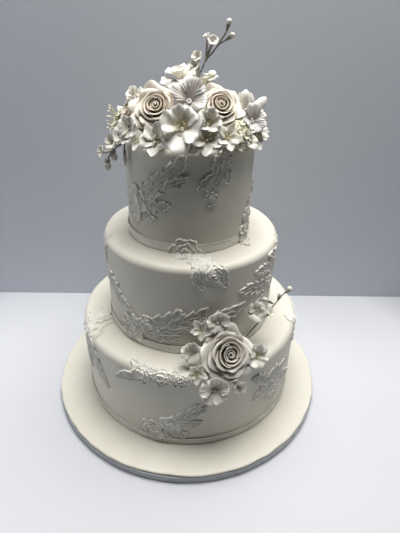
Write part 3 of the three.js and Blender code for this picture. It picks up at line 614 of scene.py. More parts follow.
# How far the lace's outer edge is sunk into the icing, how high its ground, its cords, its veins and
# each layer of a bloom stand, how far down its back lies and how far its skirt runs past its outline.
LACE = {
    "sunk": 0.9, "base": 1.2, "cord": 1.25, "cord_width": 0.85, "vein": 0.75, "layer": 0.5,
    "foot": -1.6, "skirt": 1.4,
}
LACE_WAVES = {"x": [(0.8, 15, 41)], "y": [(0.8, 12, 42)]}
EYELET = {"pitch": 2.5, "depth": 0.95, "in_bloom": 0.45, "in_leaf": 1.3}
LOBE = {"least": 10.0, "share": 0.9, "lean": 1.0, "notch": 0.46, "tip": 0.6, "side_step": 0.35}
LEAF = {"sway": 0.14, "half": 0.78, "swell": 1.96, "slope": 0.85, "deepest": 4.0, "midrib": 0.7}
BLOOM = {"cord": 1.6, "ruffle": 0.03, "ruffles": 11, "centre": 1.8}
BLOOM_LAYERS = [
    {"reach": 1.0, "petals": 6, "notch": 0.3, "turn": 0.0},
    {"reach": 0.64, "petals": 5, "notch": 0.26, "turn": 0.5},
    {"reach": 0.36, "petals": 4, "notch": 0.2, "turn": 1.1},
]


def motif_of(values):
    """A motif's middle, the spans between its ends, and its size to either side of them."""
    if len(values) == 3:
        turn, height, radius = values
        return {"turn": turn, "height": height, "spans": (0, 0), "radius": radius, "room": radius}
    from_turn, from_height, to_turn, to_height, width = values
    return {
        "turn": (from_turn + to_turn) / 2,
        "height": (from_height + to_height) / 2,
        "spans": (to_turn - from_turn, to_height - from_height),
        "width": width,
        "room": width / 2,
    }


def eyelets(x, y):
    """Rows of small hollows between threads."""
    first = np.abs(np.sin(math.pi * (x + 0.5 * y) / EYELET["pitch"]))
    second = np.abs(np.sin(math.pi * y / EYELET["pitch"] / 1.1))
    return -EYELET["depth"] * smoothstep(0.45, 0.95, first * second)


def bloom_relief(motif, x, y):
    """Depth inside a scalloped flower's outline, and the relief of its layers of petals."""
    radius = motif["radius"]
    reach = np.hypot(x, y) / radius
    angle = np.arctan2(y, x) + motif["turn"]
    relief, depths = np.zeros(x.shape), []
    for number, layer in enumerate(BLOOM_LAYERS):
        phase = layer["petals"] * (angle + layer["turn"]) / 2
        lobe = np.abs(np.cos(phase)) ** 0.55
        ruffle = BLOOM["ruffle"] * np.sin(BLOOM["ruffles"] * angle + 2 * number)
        depth = (layer["reach"] * (1 - layer["notch"] + layer["notch"] * lobe + ruffle) - reach) * radius
        own = LACE["layer"] * number + BLOOM["cord"] * bump(depth - 1.0, 1.2 * LACE["cord_width"])
        own += LACE["vein"] * (0.4 - np.abs(np.sin(4 * phase))) * smoothstep(1.2, 2.6, depth)
        own -= LACE["vein"] * bump(lobe, 0.35)
        covers = smoothstep(-0.2, 0.5, depth)
        relief = relief * (1 - covers) + own * covers
        depths.append(depth)
    relief += EYELET["in_bloom"] * eyelets(x, y) * smoothstep(1.4, 2.6, depths[0])
    centre = 1.2 * LACE["cord"] * bump(reach * radius, BLOOM["centre"])
    return depths[0], np.maximum(relief, centre)


def leaf_relief(level, motif, x, y):
    """Depth inside a toothed leaf's outline, and the relief of its cords, veins and eyelets."""
    width, (turn_span, height_span) = motif["width"], motif["spans"]
    run = math.radians(turn_span) * path_radius(level, motif["height"])
    length = math.hypot(run, height_span)
    heading = math.atan2(height_span, run)
    along = x * math.cos(heading) + y * math.sin(heading) + length / 2
    share = np.clip(along / length, 0, 1)
    side = y * math.cos(heading) - x * math.sin(heading)
    side -= LEAF["sway"] * width * np.sin(2 * math.pi * share)
    across = np.abs(side)
    tooth = max(LOBE["least"], LOBE["share"] * width)
    phase = (along - LOBE["lean"] * across) / tooth + LOBE["side_step"] * np.sign(side)
    rise = phase % 1
    lobe = rise**0.7 * smoothstep(1.0, 0.8, rise)
    taper = LEAF["swell"] * share**0.4 * (1 - share) ** LOBE["tip"]
    half = LEAF["half"] * width * taper * (1 - LOBE["notch"] + LOBE["notch"] * lobe)
    outside = np.maximum(np.maximum(-along, along - length), 0)
    depth = np.minimum((half - across) * LEAF["slope"], LEAF["deepest"]) - outside
    midrib = LEAF["midrib"] * LACE["cord"] * smoothstep(0.85, 0.6, share)
    midrib = midrib * bump(side, 0.9 * LACE["cord_width"])
    rib = np.abs((phase + 0.5) % 1 - 0.5) * tooth
    relief = np.maximum(LACE["cord"] * bump(depth - 0.9, LACE["cord_width"]), midrib)
    relief = np.maximum(relief, LACE["vein"] * bump(tooth / 2 - rib, 0.9))
    relief -= LACE["vein"] * bump(rib, 0.9) * smoothstep(1.0, 2.5, across)
    net = EYELET["in_leaf"] * eyelets(along, side) * bump(side, width)
    return depth, relief + net * smoothstep(1.4, 2.6, depth)


def lace_grid(level, motifs):
    """Turns and heights of a patch's grid, wide enough for all its motifs."""
    turns, heights = [], []
    for motif in motifs:
        radius = path_radius(level, motif["height"])
        turn_span, height_span = motif["spans"]
        tall = abs(height_span) / 2 + motif["room"] + LACE_MARGIN
        wide = math.radians(abs(turn_span)) / 2 * radius + motif["room"] + LACE_MARGIN
        spread = math.degrees(wide / radius)
        turns += [motif["turn"] - spread, motif["turn"] + spread]
        heights += [motif["height"] - tall, motif["height"] + tall]
    lowest = max(min(heights), 1.0 - LEVEL_START[level])
    turn_step = math.degrees(LACE_CELL / path_radius(level, (min(heights) + max(heights)) / 2))
    turn = np.arange(min(turns), max(turns), turn_step)
    return np.meshgrid(turn, np.arange(lowest, max(heights), LACE_CELL), indexing="ij")


def lace_relief(level, motifs, turn, height):
    """The lace's top over the icing, whether each point belongs to it, and its relief."""
    inside, relief = np.full(turn.shape, -9.0), np.zeros(turn.shape)
    flat = np.stack([np.radians(turn) * TIERS[level]["radius"], height, np.zeros_like(turn)], axis=-1)
    uneven_x, uneven_y = (unevenness(flat, LACE_WAVES[axis]) for axis in "xy")
    for motif in motifs:
        x = np.radians(turn - motif["turn"]) * path_radius(level, motif["height"]) + uneven_x
        y = height - motif["height"] + uneven_y
        depth, own = bloom_relief(motif, x, y) if "radius" in motif else leaf_relief(level, motif, x, y)
        covers = smoothstep(-0.3, 0.5, depth)
        relief = relief * (1 - covers) + own * covers
        inside = np.maximum(inside, depth)
    edge = smoothstep(-0.5, 0.4, inside)
    top = -LACE["sunk"] + (LACE["sunk"] + LACE["base"] + relief) * edge
    return top, inside > -LACE["skirt"], relief


def ribbon_lift(level, height):
    """How far a ribbon under the lace lifts it, at this tier's foot and at the next one's."""
    lift = np.zeros(height.shape)
    for start in LEVEL_START[level:level + 2]:
        over = LEVEL_START[level] + height - start
        lift += smoothstep(RIBBON["height"] + 2.5, RIBBON["height"], over) * smoothstep(-3, 0, over)
    return (GAP + RIBBON["thickness"]) * lift


def boundary_walls(quads, count):
    """Quads that join the edge of a patch's face to its back."""
    edges = np.concatenate([quads[:, [i, (i + 1) % 4]] for i in range(4)]).astype(np.int64)
    forward = edges[:, 0] * count + edges[:, 1]
    backward = edges[:, 1] * count + edges[:, 0]
    start, end = edges[~np.isin(forward, backward)].T
    return np.stack([end, start, start + count, end + count], axis=1)


def patch_shape(level, motifs):
    turn, height = lace_grid(level, motifs)
    top, kept, relief = lace_relief(level, motifs, turn, height)
    upper = on_stack(level, turn, height, top + ribbon_lift(level, height))
    lower = on_stack(level, turn, height, np.full(turn.shape, LACE["foot"]))
    whole = kept[:-1, :-1] & kept[1:, :-1] & kept[1:, 1:] & kept[:-1, 1:]
    quads = grid_quads(*turn.shape)[whole.ravel()]
    faces = np.concatenate([quads, quads[:, ::-1] + turn.size, boundary_walls(quads, turn.size)])
    used, faces = np.unique(faces, return_inverse=True)
    # Painted shade in the lace's hollows and eyelets, and painted highlight on its raised cords.
    tone = np.tile(np.clip(0.6 + 0.5 * relief / LACE["cord"], 0, 1).ravel(), 2)
    return shape(np.stack([upper, lower]).reshape(-1, 3)[used], faces.reshape(-1, 4), tone[used])


def make_laces():
    for name, (level, rows) in LACES.items():
        made = patch_shape(level, [motif_of(values) for values in rows])
        make_fine(name, made, LACE_PASTE, "sugar_lace")


# Each crack in the bottom tier's icing: turns and heights along it, in degrees and millimetres.
CRACKS = {
    "icing_crack": [(-63.5, 163), (-64, 154), (-61, 145), (-57, 138), (-56.5, 128), (-55, 119), (-53.5, 112)],
    "icing_slit": [(-30.4, 133.6), (-28.6, 129.2), (-27.1, 125)],
}
# Across a crack: the distance to one side, the lift over the icing and the tone, which paints the bottom near
# black as shade.
CRACK_SECTION = np.array([
    (-3.0, -0.5, 1), (-1.6, 0.2, 1), (-0.8, 0.45, 0.9), (-0.3, 0.1, 0), (0.3, 0.1, 0), (0.8, 0.35, 0.9),
    (1.6, 0.15, 1), (3.0, -0.5, 1),
])
CRACK_WAVES = [(0.4, 5, 43)]
CRACK_DEPTH = 1.4


def crack_shape(points):
    """A split in the icing with lifted lips, its bottom painted near black as shade."""
    path = catmull_rom([(*point, 0) for point in points], 8)
    path[:, 0] = np.radians(path[:, 0]) * path_radius(0, path[:, 1])
    ragged = unevenness(path, CRACK_WAVES)
    along = unit(np.gradient(path[:, :2], axis=0))
    ends = np.sin(math.pi * np.linspace(0.04, 0.96, len(path)))[:, None] ** 0.3
    sideways, lifts, tone = CRACK_SECTION.T
    across = sideways * ends + ragged[:, None]
    turn = np.degrees((path[:, :1] - along[:, 1:] * across) / path_radius(0, path[:, 1])[:, None])
    grid = on_stack(0, turn, path[:, 1:2] + along[:, :1] * across, lifts * ends - 0.5 * (1 - ends))
    if np.cross(grid[1, 0] - grid[0, 0], grid[0, 1] - grid[0, 0]) @ (grid[0, 0] * [1, 1, 0]) < 0:
        grid, tone = grid[:, ::-1], tone[::-1]
    return sheet(grid, CRACK_DEPTH, tone)


# ---------------------------------------------------------------- flowers


def aim(place, facing):
    """The turn and shift that take +Z at the origin to a direction at a place."""
    turn = UP.rotation_difference(Vector(facing).normalized())
    return Matrix.Translation(Vector(place)) @ turn.to_matrix().to_4x4()


def curled_profile(rim, length, angles, count):
    """A petal's section from its base to its rim: radii and heights, from the angles it follows.

    angles are degrees over the horizon at the base, the middle, below the lip and at the rim."""
    lean = np.radians(np.interp(np.linspace(0, 1, count), [0, 0.5, 0.82, 1.0], angles))[:-1]
    step = length / (count - 1)
    radius, height = (np.concatenate([[0], np.cumsum(part * step)]) for part in (np.cos(lean), np.sin(lean)))
    return radius - radius[-1] + rim[0], height - height[-1] + rim[1]


# A rose's rows from the heart outwards: their petals, and in fractions of the rose's radius the
# rim's radius and height and a petal's length, then the angles of its section and its span.
ROSE_ROWS = [
    (3, (0.29, 0.36), 0.46, (84, 92, 80, -20), 172),
    (3, (0.46, 0.32), 0.56, (74, 90, 70, -60), 168),
    (4, (0.65, 0.23), 0.64, (58, 70, 42, -70), 136),
    (4, (0.85, 0.09), 0.74, (42, 50, 16, -70), 132),
    (5, (1.05, -0.05), 0.86, (30, 34, 2, -60), 110),
]
ROSE_ROW_TURN = math.radians(137.0)
ROSE_PETAL_GRID = (15, 22)
# The waves of a petal's edge: how fast each runs across the petal, and its height.
ROSE_WAVES = [(2.6, 0.07), (5.4, 0.065), (9.5, 0.025)]
ROSE_VARIES = {"heading": (-0.09, 0.09), "size": (0.96, 1.04), "wave": (0.6, 1.1), "point": (-0.3, 0.3)}
ROSE_HEART = {"turns": 1.7, "grid": (9, 50), "inner": 0.02, "radius": 0.15, "lip": 0.02, "thickness": 0.9}
ROSE_TIP = {"rise": 0.15, "dip": 0.07, "dip_beside": 0.5}
PETAL_THICKNESS = 0.8


def rose_petal(section, span, share, radius, heading, draw):
    """One petal: a sheet wound round the axis, its lip rolled outwards and its edge a little wavy."""
    rows, columns = ROSE_PETAL_GRID
    section_radius, section_height = curled_profile(*section, rows)
    side, steps = np.linspace(-1, 1, columns), np.linspace(0, 1, rows)
    point = draw.uniform(*ROSE_VARIES["point"])
    tall = 1 - (0.08 + 0.16 * share) * np.abs(side) ** 2.6
    tall += ROSE_TIP["rise"] * share * bump(side - point, 0.3)
    tall -= ROSE_TIP["dip"] * share * bump(side - point - ROSE_TIP["dip_beside"], 0.28)
    reach = np.outer(steps, tall)
    wave = np.zeros(columns)
    for rate, height in ROSE_WAVES:
        height *= draw.uniform(*ROSE_VARIES["wave"]) * share**1.5
        wave += height * np.sin(side * rate + draw.uniform(*ANY_TURN))
    steps = steps[:, None]
    r = np.interp(reach, steps[:, 0], section_radius) + (0.03 + 0.05 * share) * side + wave * steps**3
    z = np.interp(reach, steps[:, 0], section_height) + 1.1 * wave * steps**3
    angle = heading + math.radians(span) / 2 * side * (0.5 + 0.5 * steps**0.5)
    # Painted shade: inner rows and petal bases darker; painted highlight on the rims.
    tone = np.clip(0.62 * share + 0.2 * reach + 0.45 * smoothstep(0.8, 0.96, reach) - 0.1, 0, 1)
    return sheet(radius * polar(r, angle, z), PETAL_THICKNESS * (0.8 + 0.5 * share), tone)


def rose_heart(radius):
    """The tight middle: a rolled petal whose edge winds outwards."""
    rows, columns = ROSE_HEART["grid"]
    angle = np.linspace(0, 2 * math.pi * ROSE_HEART["turns"], columns)
    share = angle / angle[-1]
    rise = np.linspace(-0.1, 1, rows)[:, None]
    r = radius * (ROSE_HEART["inner"] + ROSE_HEART["radius"] * share) * (0.8 + 0.2 * rise)
    r += radius * ROSE_HEART["lip"] * smoothstep(0.75, 1.0, rise)
    z = radius * (0.1 + (0.235 - 0.05 * share) * rise)
    # The heart is painted darker low down as shade, lighter towards its edge.
    return sheet(polar(r, angle, z), ROSE_HEART["thickness"], 0.2 + 0.6 * rise**3)


def rose_shape(flower, draw):
    radius = flower["radius"]
    shapes = [rose_heart(radius)]
    for number, (petals, *section, span) in enumerate(ROSE_ROWS):
        share = number / (len(ROSE_ROWS) - 1)
        for petal in range(petals):
            heading = ROSE_ROW_TURN * number + flower["spin"] + 2 * math.pi * petal / petals
            heading += draw.uniform(*ROSE_VARIES["heading"])
            size = radius * draw.uniform(*ROSE_VARIES["size"])
            shapes.append(rose_petal(section, span, share, size, heading, draw))
    return merged(shapes)


STALK = {"back": 0.42, "hidden": 0.28, "width": 0.40, "root_radius": 1.6, "skin": 0.3, "tone": 0.4}
STALK_GRID = (7, 14)


def stalk(radius, root):
    """The flower's back narrowing to a stalk that ends at its root."""
    share = np.linspace(1, 0, STALK_GRID[0])[:, None]
    wide = radius * (STALK["width"] * (1 - share) ** 2.2) + STALK["root_radius"] * share + STALK["skin"]
    centre = np.array([0, 0, -STALK["back"] * radius]) * (1 - share) + np.array(root) * share
    rings = centre[:, None] + polar(wide, circle(STALK_GRID[1]), 0.0)
    return closed_rings(rings, tuple(root), (0, 0, -STALK["hidden"] * radius), STALK["tone"])


# Open flowers: how many petals, how they lean, in degrees at the base, the middle, near the tip and
# at the tip, their tips and spread, how far they are fluted and ruffled, in fractions of the
# flower's radius, and the eye.
FORM_KEYS = ("petals", "lean", "tips", "spread", "flute", "ruffle", "eye")
FORM_ROWS = {
    "round": (5, (52, 30, 14, -58), "round", 1.42, 0.004, 0.1, "stamens"),
    "flat": (5, (40, 18, 8, -40), "round", 1.46, 0.014, 0.09, "ring"),
    "four": (4, (44, 24, 8, -40), "heart", 1.16, 0.014, 0.06, "ring"),
    "star": (5, (40, 14, 14, 34), "star", 1.45, 0.006, 0.05, "throat"),
    "cup": (5, (62, 40, 20, 0), "round", 1.5, 0.006, 0.05, "stamens"),
    "saucer": (5, (50, 16, 2, 6), "round", 1.5, 0.004, 0.05, "stamens"),
    "trumpet": (6, (30, 12, -6, -44), "round", 1.3, 0.01, 0.11, "tube"),
    "tiny": (5, (44, 24, 5, -12), "round", 1.1, 0.0, 0.06, "dot"),
}
FORMS = {name: dict(zip(FORM_KEYS, values)) for name, values in FORM_ROWS.items()}
THROAT = {"radius": 0.06, "depth": 0.12}
PETAL_LIFT = 16.0
BLOSSOM_VARIES = {"lean": (-7, 7), "heading": (-0.1, 0.1), "size": (0.93, 1.06), "rate": (3.5, 6.0)}
FALL = {"middle": 0.3, "swing": 0.7}
CUPPING = {"sides": 0.13, "rolled": 0.09, "twist": 0.06}
# How dark the flute grooves are painted as shade, and how much darker on raised petals.
GROOVE_SHADE = {"flat": 0.17, "lifted": 0.1}
VEINED_FLUTE = 0.01
VEINS = 9
GRIDS = {"plain": (13, 25), "veined": (13, 37), "sprig": (9, 11), "small": (7, 9), "tiny": (6, 7)}
SMALL_RADIUS = 12.8
LARGE_PETAL = 10
THICKNESS = {"large": 0.9, "small": 0.5}


def tip_outline(tips, side):
    """How far a petal reaches at each place across it, with its tip at 1."""
    if tips == "star":
        return 1 - 0.55 * np.abs(side)
    notch = 0.10 * bump(side, 0.34) if tips == "heart" else 0.0
    return 1 - 0.34 * np.abs(side) ** 3 - notch


def blossom_petal(form, radius, heading, lift, draw, grid_size):
    """One petal. A lift of 1 stands it up and -1 lets it fall back; a raised petal is also painted darker as
    shade.
    """
    rows, columns = grid_size
    lean = np.array(form["lean"]) + draw.uniform(*BLOSSOM_VARIES["lean"]) + PETAL_LIFT * lift
    section_radius, section_height = (part - part[0] for part in curled_profile((0, 0), 1.0, lean, rows))
    side, steps = np.linspace(-1, 1, columns), np.linspace(0, 1, rows)
    outline = tip_outline(form["tips"], side) + 0.02 * np.sin(side * 9 + draw.uniform(*ANY_TURN))
    reach = np.outer(steps, outline)
    r = np.interp(reach, steps, section_radius) / section_radius.max()
    r = THROAT["radius"] + (1 - THROAT["radius"]) * r
    z = np.interp(reach, steps, section_height) / section_radius.max() - THROAT["depth"]
    steps = steps[:, None]
    open_width = 0.42 + 0.58 * np.sin(math.pi * np.clip(steps * 0.7, 0, 0.5))
    angle = heading + math.pi / form["petals"] * form["spread"] * side * open_width
    vein = bump(np.abs(np.sin(side * math.pi * VEINS / 2)), 0.5)
    rate, start = draw.uniform(*BLOSSOM_VARIES["rate"]), draw.uniform(*ANY_TURN)
    waves = np.sin(side * rate + start) + 0.4 * np.sin(2.3 * side * rate + 2 * start)
    cupped = CUPPING["sides"] * side**2 - CUPPING["rolled"] * smoothstep(0.72, 1.0, np.abs(side))
    z = z - 2 * form["flute"] * (vein - 0.4) * np.sin(math.pi * np.clip(steps, 0, 0.8) / 1.6) ** 1.5
    z += form["ruffle"] * waves * steps**4.5 + cupped * np.sin(math.pi * steps)
    z += CUPPING["twist"] * side * np.sin(math.pi * steps / 2)
    groove_shade = vein * (form["flute"] > VEINED_FLUTE) * (1 - steps**3)
    groove_shade = (GROOVE_SHADE["flat"] + GROOVE_SHADE["lifted"] * lift) * groove_shade
    # Painted shade at the throat, in the grooves and on raised upper petals; painted highlight towards the
    # tip.
    shade = 0.38 - 0.2 * lift + 0.55 * reach + 0.3 * smoothstep(0.84, 0.97, steps) - groove_shade
    thickness = THICKNESS["small" if radius <= LARGE_PETAL else "large"]
    return sheet(radius * polar(r, angle, z), thickness, PETAL_TONE * np.clip(shade, 0, 1))


def ball(centre, radius, tone, sides=8):
    angles = np.linspace(-math.pi / 2, math.pi / 2, 7)
    profile = np.stack([radius * np.cos(angles), radius * np.sin(angles)], axis=1)
    return shifted(turned(profile, sides, tone), *centre)


def bud_shape(radius, length, sides=14, tone=PETAL_TONE):
    """A plump closed bud that stands on the origin."""
    share = np.linspace(0, 1, 10)
    wide = radius * np.sin(math.pi * share**1.1) ** 0.62
    wide[0] = wide[-1] = 0
    return turned(np.stack([wide, share * length], axis=1), sides, tone)


STAMENS = {"out": (0.08, 0.24), "rise": (0.22, 0.34), "radius": 0.3, "tone": 0.5}
STAMEN_COUNTS = {"large": 9, "small": 4, "throat": 5}


def stamens(radius, count, draw):
    """Fine threads from the throat, each with a grain of pollen at its end in the accent colour."""
    shapes = []
    for number in range(count):
        heading = GOLDEN_ANGLE * number
        out = radius * draw.uniform(*STAMENS["out"])
        x, y, z = out * math.cos(heading), out * math.sin(heading), radius * draw.uniform(*STAMENS["rise"])
        thread = [(0.3 * x, 0.3 * y, -0.02 * radius), (0.75 * x, 0.75 * y, 0.6 * z), (x, y, z)]
        shapes.append(tube(thread, STAMENS["radius"], sides=5, steps=3, tone=STAMENS["tone"]))
        shapes.append(ball((x, y, z), 0.03 * radius + 0.35, 1.0, sides=6))
    return shapes


def ring_eye(radius):
    """A raised ring round a small ball."""
    around = circle(8)
    profile = radius * np.stack([0.11 + 0.045 * np.cos(around), 0.10 + 0.045 * np.sin(around)], axis=1)
    return [closed_band(lathe(profile, 20), 0.8), ball((0, 0, 0.03 * radius), 0.07 * radius, 0.3)]


def tube_eye(radius):
    """A hollow cone that widens out of the throat."""
    out = np.array([0.16, 0.18, 0.21, 0.24, 0.28, 0.32, 0.37, 0.40])
    outer = list(zip(radius * out, np.linspace(0, 0.5, len(out)) * radius))
    inner = [(r - 0.05 * radius, z + 0.02 * radius) for r, z in reversed(outer)]
    return [turned([(0, 0)] + outer + inner + [(0, 0.1 * radius)], 24, 0.7)]


def eye_shapes(kind, radius, draw):
    if kind == "ring":
        return ring_eye(radius)
    if kind == "tube":
        return tube_eye(radius)
    if kind == "stamens":
        return stamens(radius, STAMEN_COUNTS["large" if radius > SMALL_RADIUS else "small"], draw)
    if kind == "throat":
        return stamens(radius, STAMEN_COUNTS["throat"], draw) + [ball((0, 0, 0), 0.09 * radius, 0.0)]
    return [ball((0, 0, 0.05 * radius), 0.16 * radius, 0.0)]


def blossom_shape(flower, draw, grid):
    """An open flower facing +Z. Its petals fall back towards its lowest side, where it names one."""
    form, radius = FORMS[flower["form"]], flower["radius"]
    shapes = []
    for petal in range(form["petals"]):
        from_lowest = 2 * math.pi * petal / form["petals"] + flower["spin"]
        from_lowest += draw.uniform(*BLOSSOM_VARIES["heading"])
        fall = math.cos(from_lowest)
        size = radius * draw.uniform(*BLOSSOM_VARIES["size"]) * (1 + flower.get("stretch", 0.0) * fall)
        lift = FALL["middle"] - FALL["swing"] * fall if "lowest" in flower else 0.0
        heading = from_lowest + flower.get("lowest", 0.0)
        shapes.append(blossom_petal(form, size, heading, lift, draw, GRIDS[grid]))
    return merged(shapes + eye_shapes(form["eye"], radius, draw))


def small_flower(form, radii, draw):
    return {"form": form, "radius": draw.uniform(*radii), "spin": draw.uniform(*ANY_TURN)}


def on_top(turn, rise, reach, facing=None):
    """Where a flower of the top cluster sits, in degrees and millimetres from the mound's middle."""
    mound = MOUNDS["mound_top"]
    place = mound["place"] + direction(turn, rise) * reach
    root = mound["place"] + UP * (mound["height"] / 3)
    return {"place": place, "facing": direction(*(facing or (turn, rise))), "root": root}


def on_side(turn, reach, height, facing, root_reach, root_height):
    """Where a flower of the side cluster sits, round the middle tier's axis and over its base."""
    out = direction(turn)
    place = SIDE_AXIS + out * reach + UP * height
    root = SIDE_AXIS + out * root_reach + UP * root_height
    return {"place": place, "facing": direction(*facing), "root": root}


# Each large flower: its form, radius and spin, and its place and facing on its mound.
FLOWER_ROWS = {
    "rose_left": ("rose", 27, 0.6, on_top(-37.5, 31, 69, (-14, 40))),
    "rose_right": ("rose", 25, 2.1, on_top(36, 34.5, 67, (14, 42))),
    "rose_side": ("rose", 24, 1.2, on_top(-76, 21, 73, (-62, 30))),
    "rose_back": ("rose", 27, 0.2, on_top(172, 34, 62)),
    "blossom_middle": ("flat", 19, 0.19, on_top(-1, 38, 73)),
    "blossom_open": ("round", 23, -0.3, on_top(-6, 17, 80, (-5, 34))),
    "blossom_crown": ("trumpet", 22, 0.3, on_top(-68, 77, 62, (-40, 74))),
    "blossom_trumpet": ("cup", 8, 0.0, on_top(-89, 31, 75, (-40, 50))),
    "blossom_cup": ("saucer", 9, 0.0, on_top(107, 68, 64, (10, 84))),
    "blossom_petite": ("round", 13, 0.2, on_top(14.5, 19.5, 82, (10, 36))),
    "blossom_striped": ("flat", 17, 0.63, on_top(62, 16, 81, (26, 32))),
    "blossom_left": ("round", 12.5, 0.0, on_top(-50, 10, 84, (-36, 30))),
    "star_left": ("star", 18, 0.1, on_top(-24, 6, 86, (-22, 36))),
    "star_front": ("star", 19.5, 0.0, on_top(12, 8, 84, (8, 40))),
    "star_right": ("star", 16, 0.0, on_top(28, 8, 85, (24, 40))),
    "star_edge": ("star", 15, 0.0, on_top(62, 3, 84, (45, 25))),
    "filler_right": ("filler", 17, 0.0, on_top(43, 8, 82, (36, 30))),
    "filler_left": ("wisps", 15, 0.0, on_top(-88, 9, 84)),
    "buds_right": ("buds", 13, 0.0, on_top(87, 26, 80, (80, 70))),
    "blossom_back_left": ("round", 23, 0.0, on_top(-132, 8, 76)),
    "blossom_back_right": ("flat", 24, 0.0, on_top(122, 12, 75)),
    "star_back_left": ("star", 21, 0.0, on_top(-110, 2, 80, (-110, 15))),
    "star_back_middle": ("round", 25, 0.0, on_top(-167, 9, 77, (-167, 18))),
    "star_back_right": ("star", 25, 0.0, on_top(152, 4, 79, (152, 15))),
    "rose_low": ("rose", 33, 1.0, on_side(18.6, 148, 22, (20, 35), 134, 8)),
    "star_low_left": ("star", 13.5, 0.0, on_side(6, 128, 48, (-4, 36), 117, 44)),
    "blossom_low_back": ("flat", 14, 0.63, on_side(15, 128, 57, (12, 25), 117, 50)),
    "blossom_low_left": ("four", 14, 0.0, on_side(1.4, 140, 23, (-4, 36), 130, 0)),
    "blossom_low_folded": ("star", 13, 0.0, on_side(3.2, 159, 6, (0, 35), 147, 0)),
    "blossom_low_fluted": ("flat", 19, 0.63, on_side(10.5, 165, -16, (9, 28), 150, -14)),
    "blossom_low_small": ("round", 10, 0.0, on_side(21.5, 165, -19, (24, 20), 150, -18)),
    "blossom_low_right": ("round", 16.5, 0.0, on_side(32, 152, 9, (34, 34), 141, 0)),
}
# How much longer the lowest petals of a blossom are, and how many tiny flowers a filler has.
FLOWER_EXTRAS = {
    "blossom_middle": {"stretch": -0.12}, "blossom_open": {"stretch": 0.3},
    "filler_right": {"count": 28}, "filler_left": {"count": 9},
}
FLOWERS = {
    name: {"form": form, "radius": radius, "spin": spin, **place, **FLOWER_EXTRAS.get(name, {})}
    for name, (form, radius, spin, place) in FLOWER_ROWS.items()
}
FILLER_RADII = (3.6, 5.2)
THREAD = {"filler": 0.5, "wisp": 0.45}


def filler_shape(flower, draw):
    """A close mass of tiny flowers and green-centred bobbles over a low core."""
    radius, count = flower["radius"], flower["count"]
    shapes = [ball((0, 0, -0.35 * radius), 0.6 * radius, 0.3, sides=14)]
    for number in range(count):
        out = 0.95 * radius * math.sqrt((number + 0.5) / count)
        heading = GOLDEN_ANGLE * number + draw.uniform(-0.2, 0.2)
        x, y = out * math.cos(heading), out * math.sin(heading)
        place = (x, y, radius * (0.28 - 0.42 * (out / radius) ** 2 + draw.uniform(-0.08, 0.08)))
        tiny = blossom_shape(small_flower("tiny", FILLER_RADII, draw), draw, "tiny")
        shapes.append(moved(tiny, aim(place, (x / radius, y / radius, 0.9))))
        shapes.append(tube([(0.4 * x, 0.4 * y, -0.5 * radius), place], THREAD["filler"], sides=5, steps=2))
    return merged(shapes)


def wisps_shape(flower, draw):
    """Loose tiny flowers and thin pale strands that stand out from the cluster."""
    radius, count = flower["radius"], flower["count"]
    shapes = [filler_shape({"radius": 0.7 * radius, "count": count}, draw)]
    for number in range(count):
        spread = draw.uniform(0.5, 0.9) * radius
        bend = draw.uniform(-0.4, 0.4)
        points = [(0, 0, -0.3 * radius)]
        for share in (0.4, 0.75, 1.0):
            turn = GOLDEN_ANGLE * number + bend * share
            out = spread * share
            points.append((out * math.cos(turn), out * math.sin(turn), radius * 0.8 * share))
        shapes.append(tube(points, THREAD["wisp"], sides=5, steps=3))
        shapes.append(shifted(bud_shape(1.1, 3.4, sides=6, tone=0.9), *points[-1]))
    return merged(shapes)


def buds_shape(flower, _draw):
    """Two plump closed petals of a half-open flower, with a smaller bud under them."""
    radius = flower["radius"]
    shapes = []
    for side in (-1, 1):
        petal = bud_shape(0.5 * radius, 2.05 * radius, sides=18)
        shapes.append(moved(petal, aim((side * 0.42 * radius, 0, -radius), (0.3 * side, 0.1 * side, 1))))
    shapes.append(shifted(bud_shape(0.62 * radius, 1.1 * radius, tone=0.5), 0, 0, -1.3 * radius))
    return merged(shapes)


def open_blossom(flower, draw):
    """A large blossom, whose lowest petals fall back and highest stand up."""
    lowest = math.atan2(flower["facing"].y, flower["facing"].x)
    veined = FORMS[flower["form"]]["flute"] > VEINED_FLUTE
    return blossom_shape({**flower, "lowest": lowest}, draw, "veined" if veined else "plain")


CROWDING = 1.3
PRESS = {"rose": 0.05, "other": 0.4}


def in_own_room(made, name):
    """Petals that reach past the middle between two flowers are pressed back against it."""
    flower = FLOWERS[name]
    points = made[0]
    press = PRESS["rose" if flower["form"] == "rose" else "other"]
    for other_name, other in FLOWERS.items():
        way = other["place"] - flower["place"]
        both = flower["radius"] + other["radius"]
        if other_name == name or way.length > CROWDING * both:
            continue
        heading = np.array(way.normalized())
        past = (points - np.array(flower["place"])) @ heading - way.length * flower["radius"] / both
        points = points - np.outer(press * np.maximum(past, 0), heading)
    return (points, *made[1:])


# What makes each form that isn't an open blossom.
FLOWER_MAKERS = {"rose": rose_shape, "filler": filler_shape, "wisps": wisps_shape, "buds": buds_shape}


def flower_shape(name, draw):
    flower = FLOWERS[name]
    made = FLOWER_MAKERS.get(flower["form"], open_blossom)(flower, draw)
    place = aim(flower["place"], flower["facing"])
    back = stalk(flower["radius"], place.inverted() @ flower["root"])
    return off_icing(in_own_room(moved(merged([made, back]), place), name))


# Flowers whose shade is painted mauve grey.
MAUVE_SHADED_FLOWERS = ("blossom_middle", "blossom_striped", "blossom_back_right")


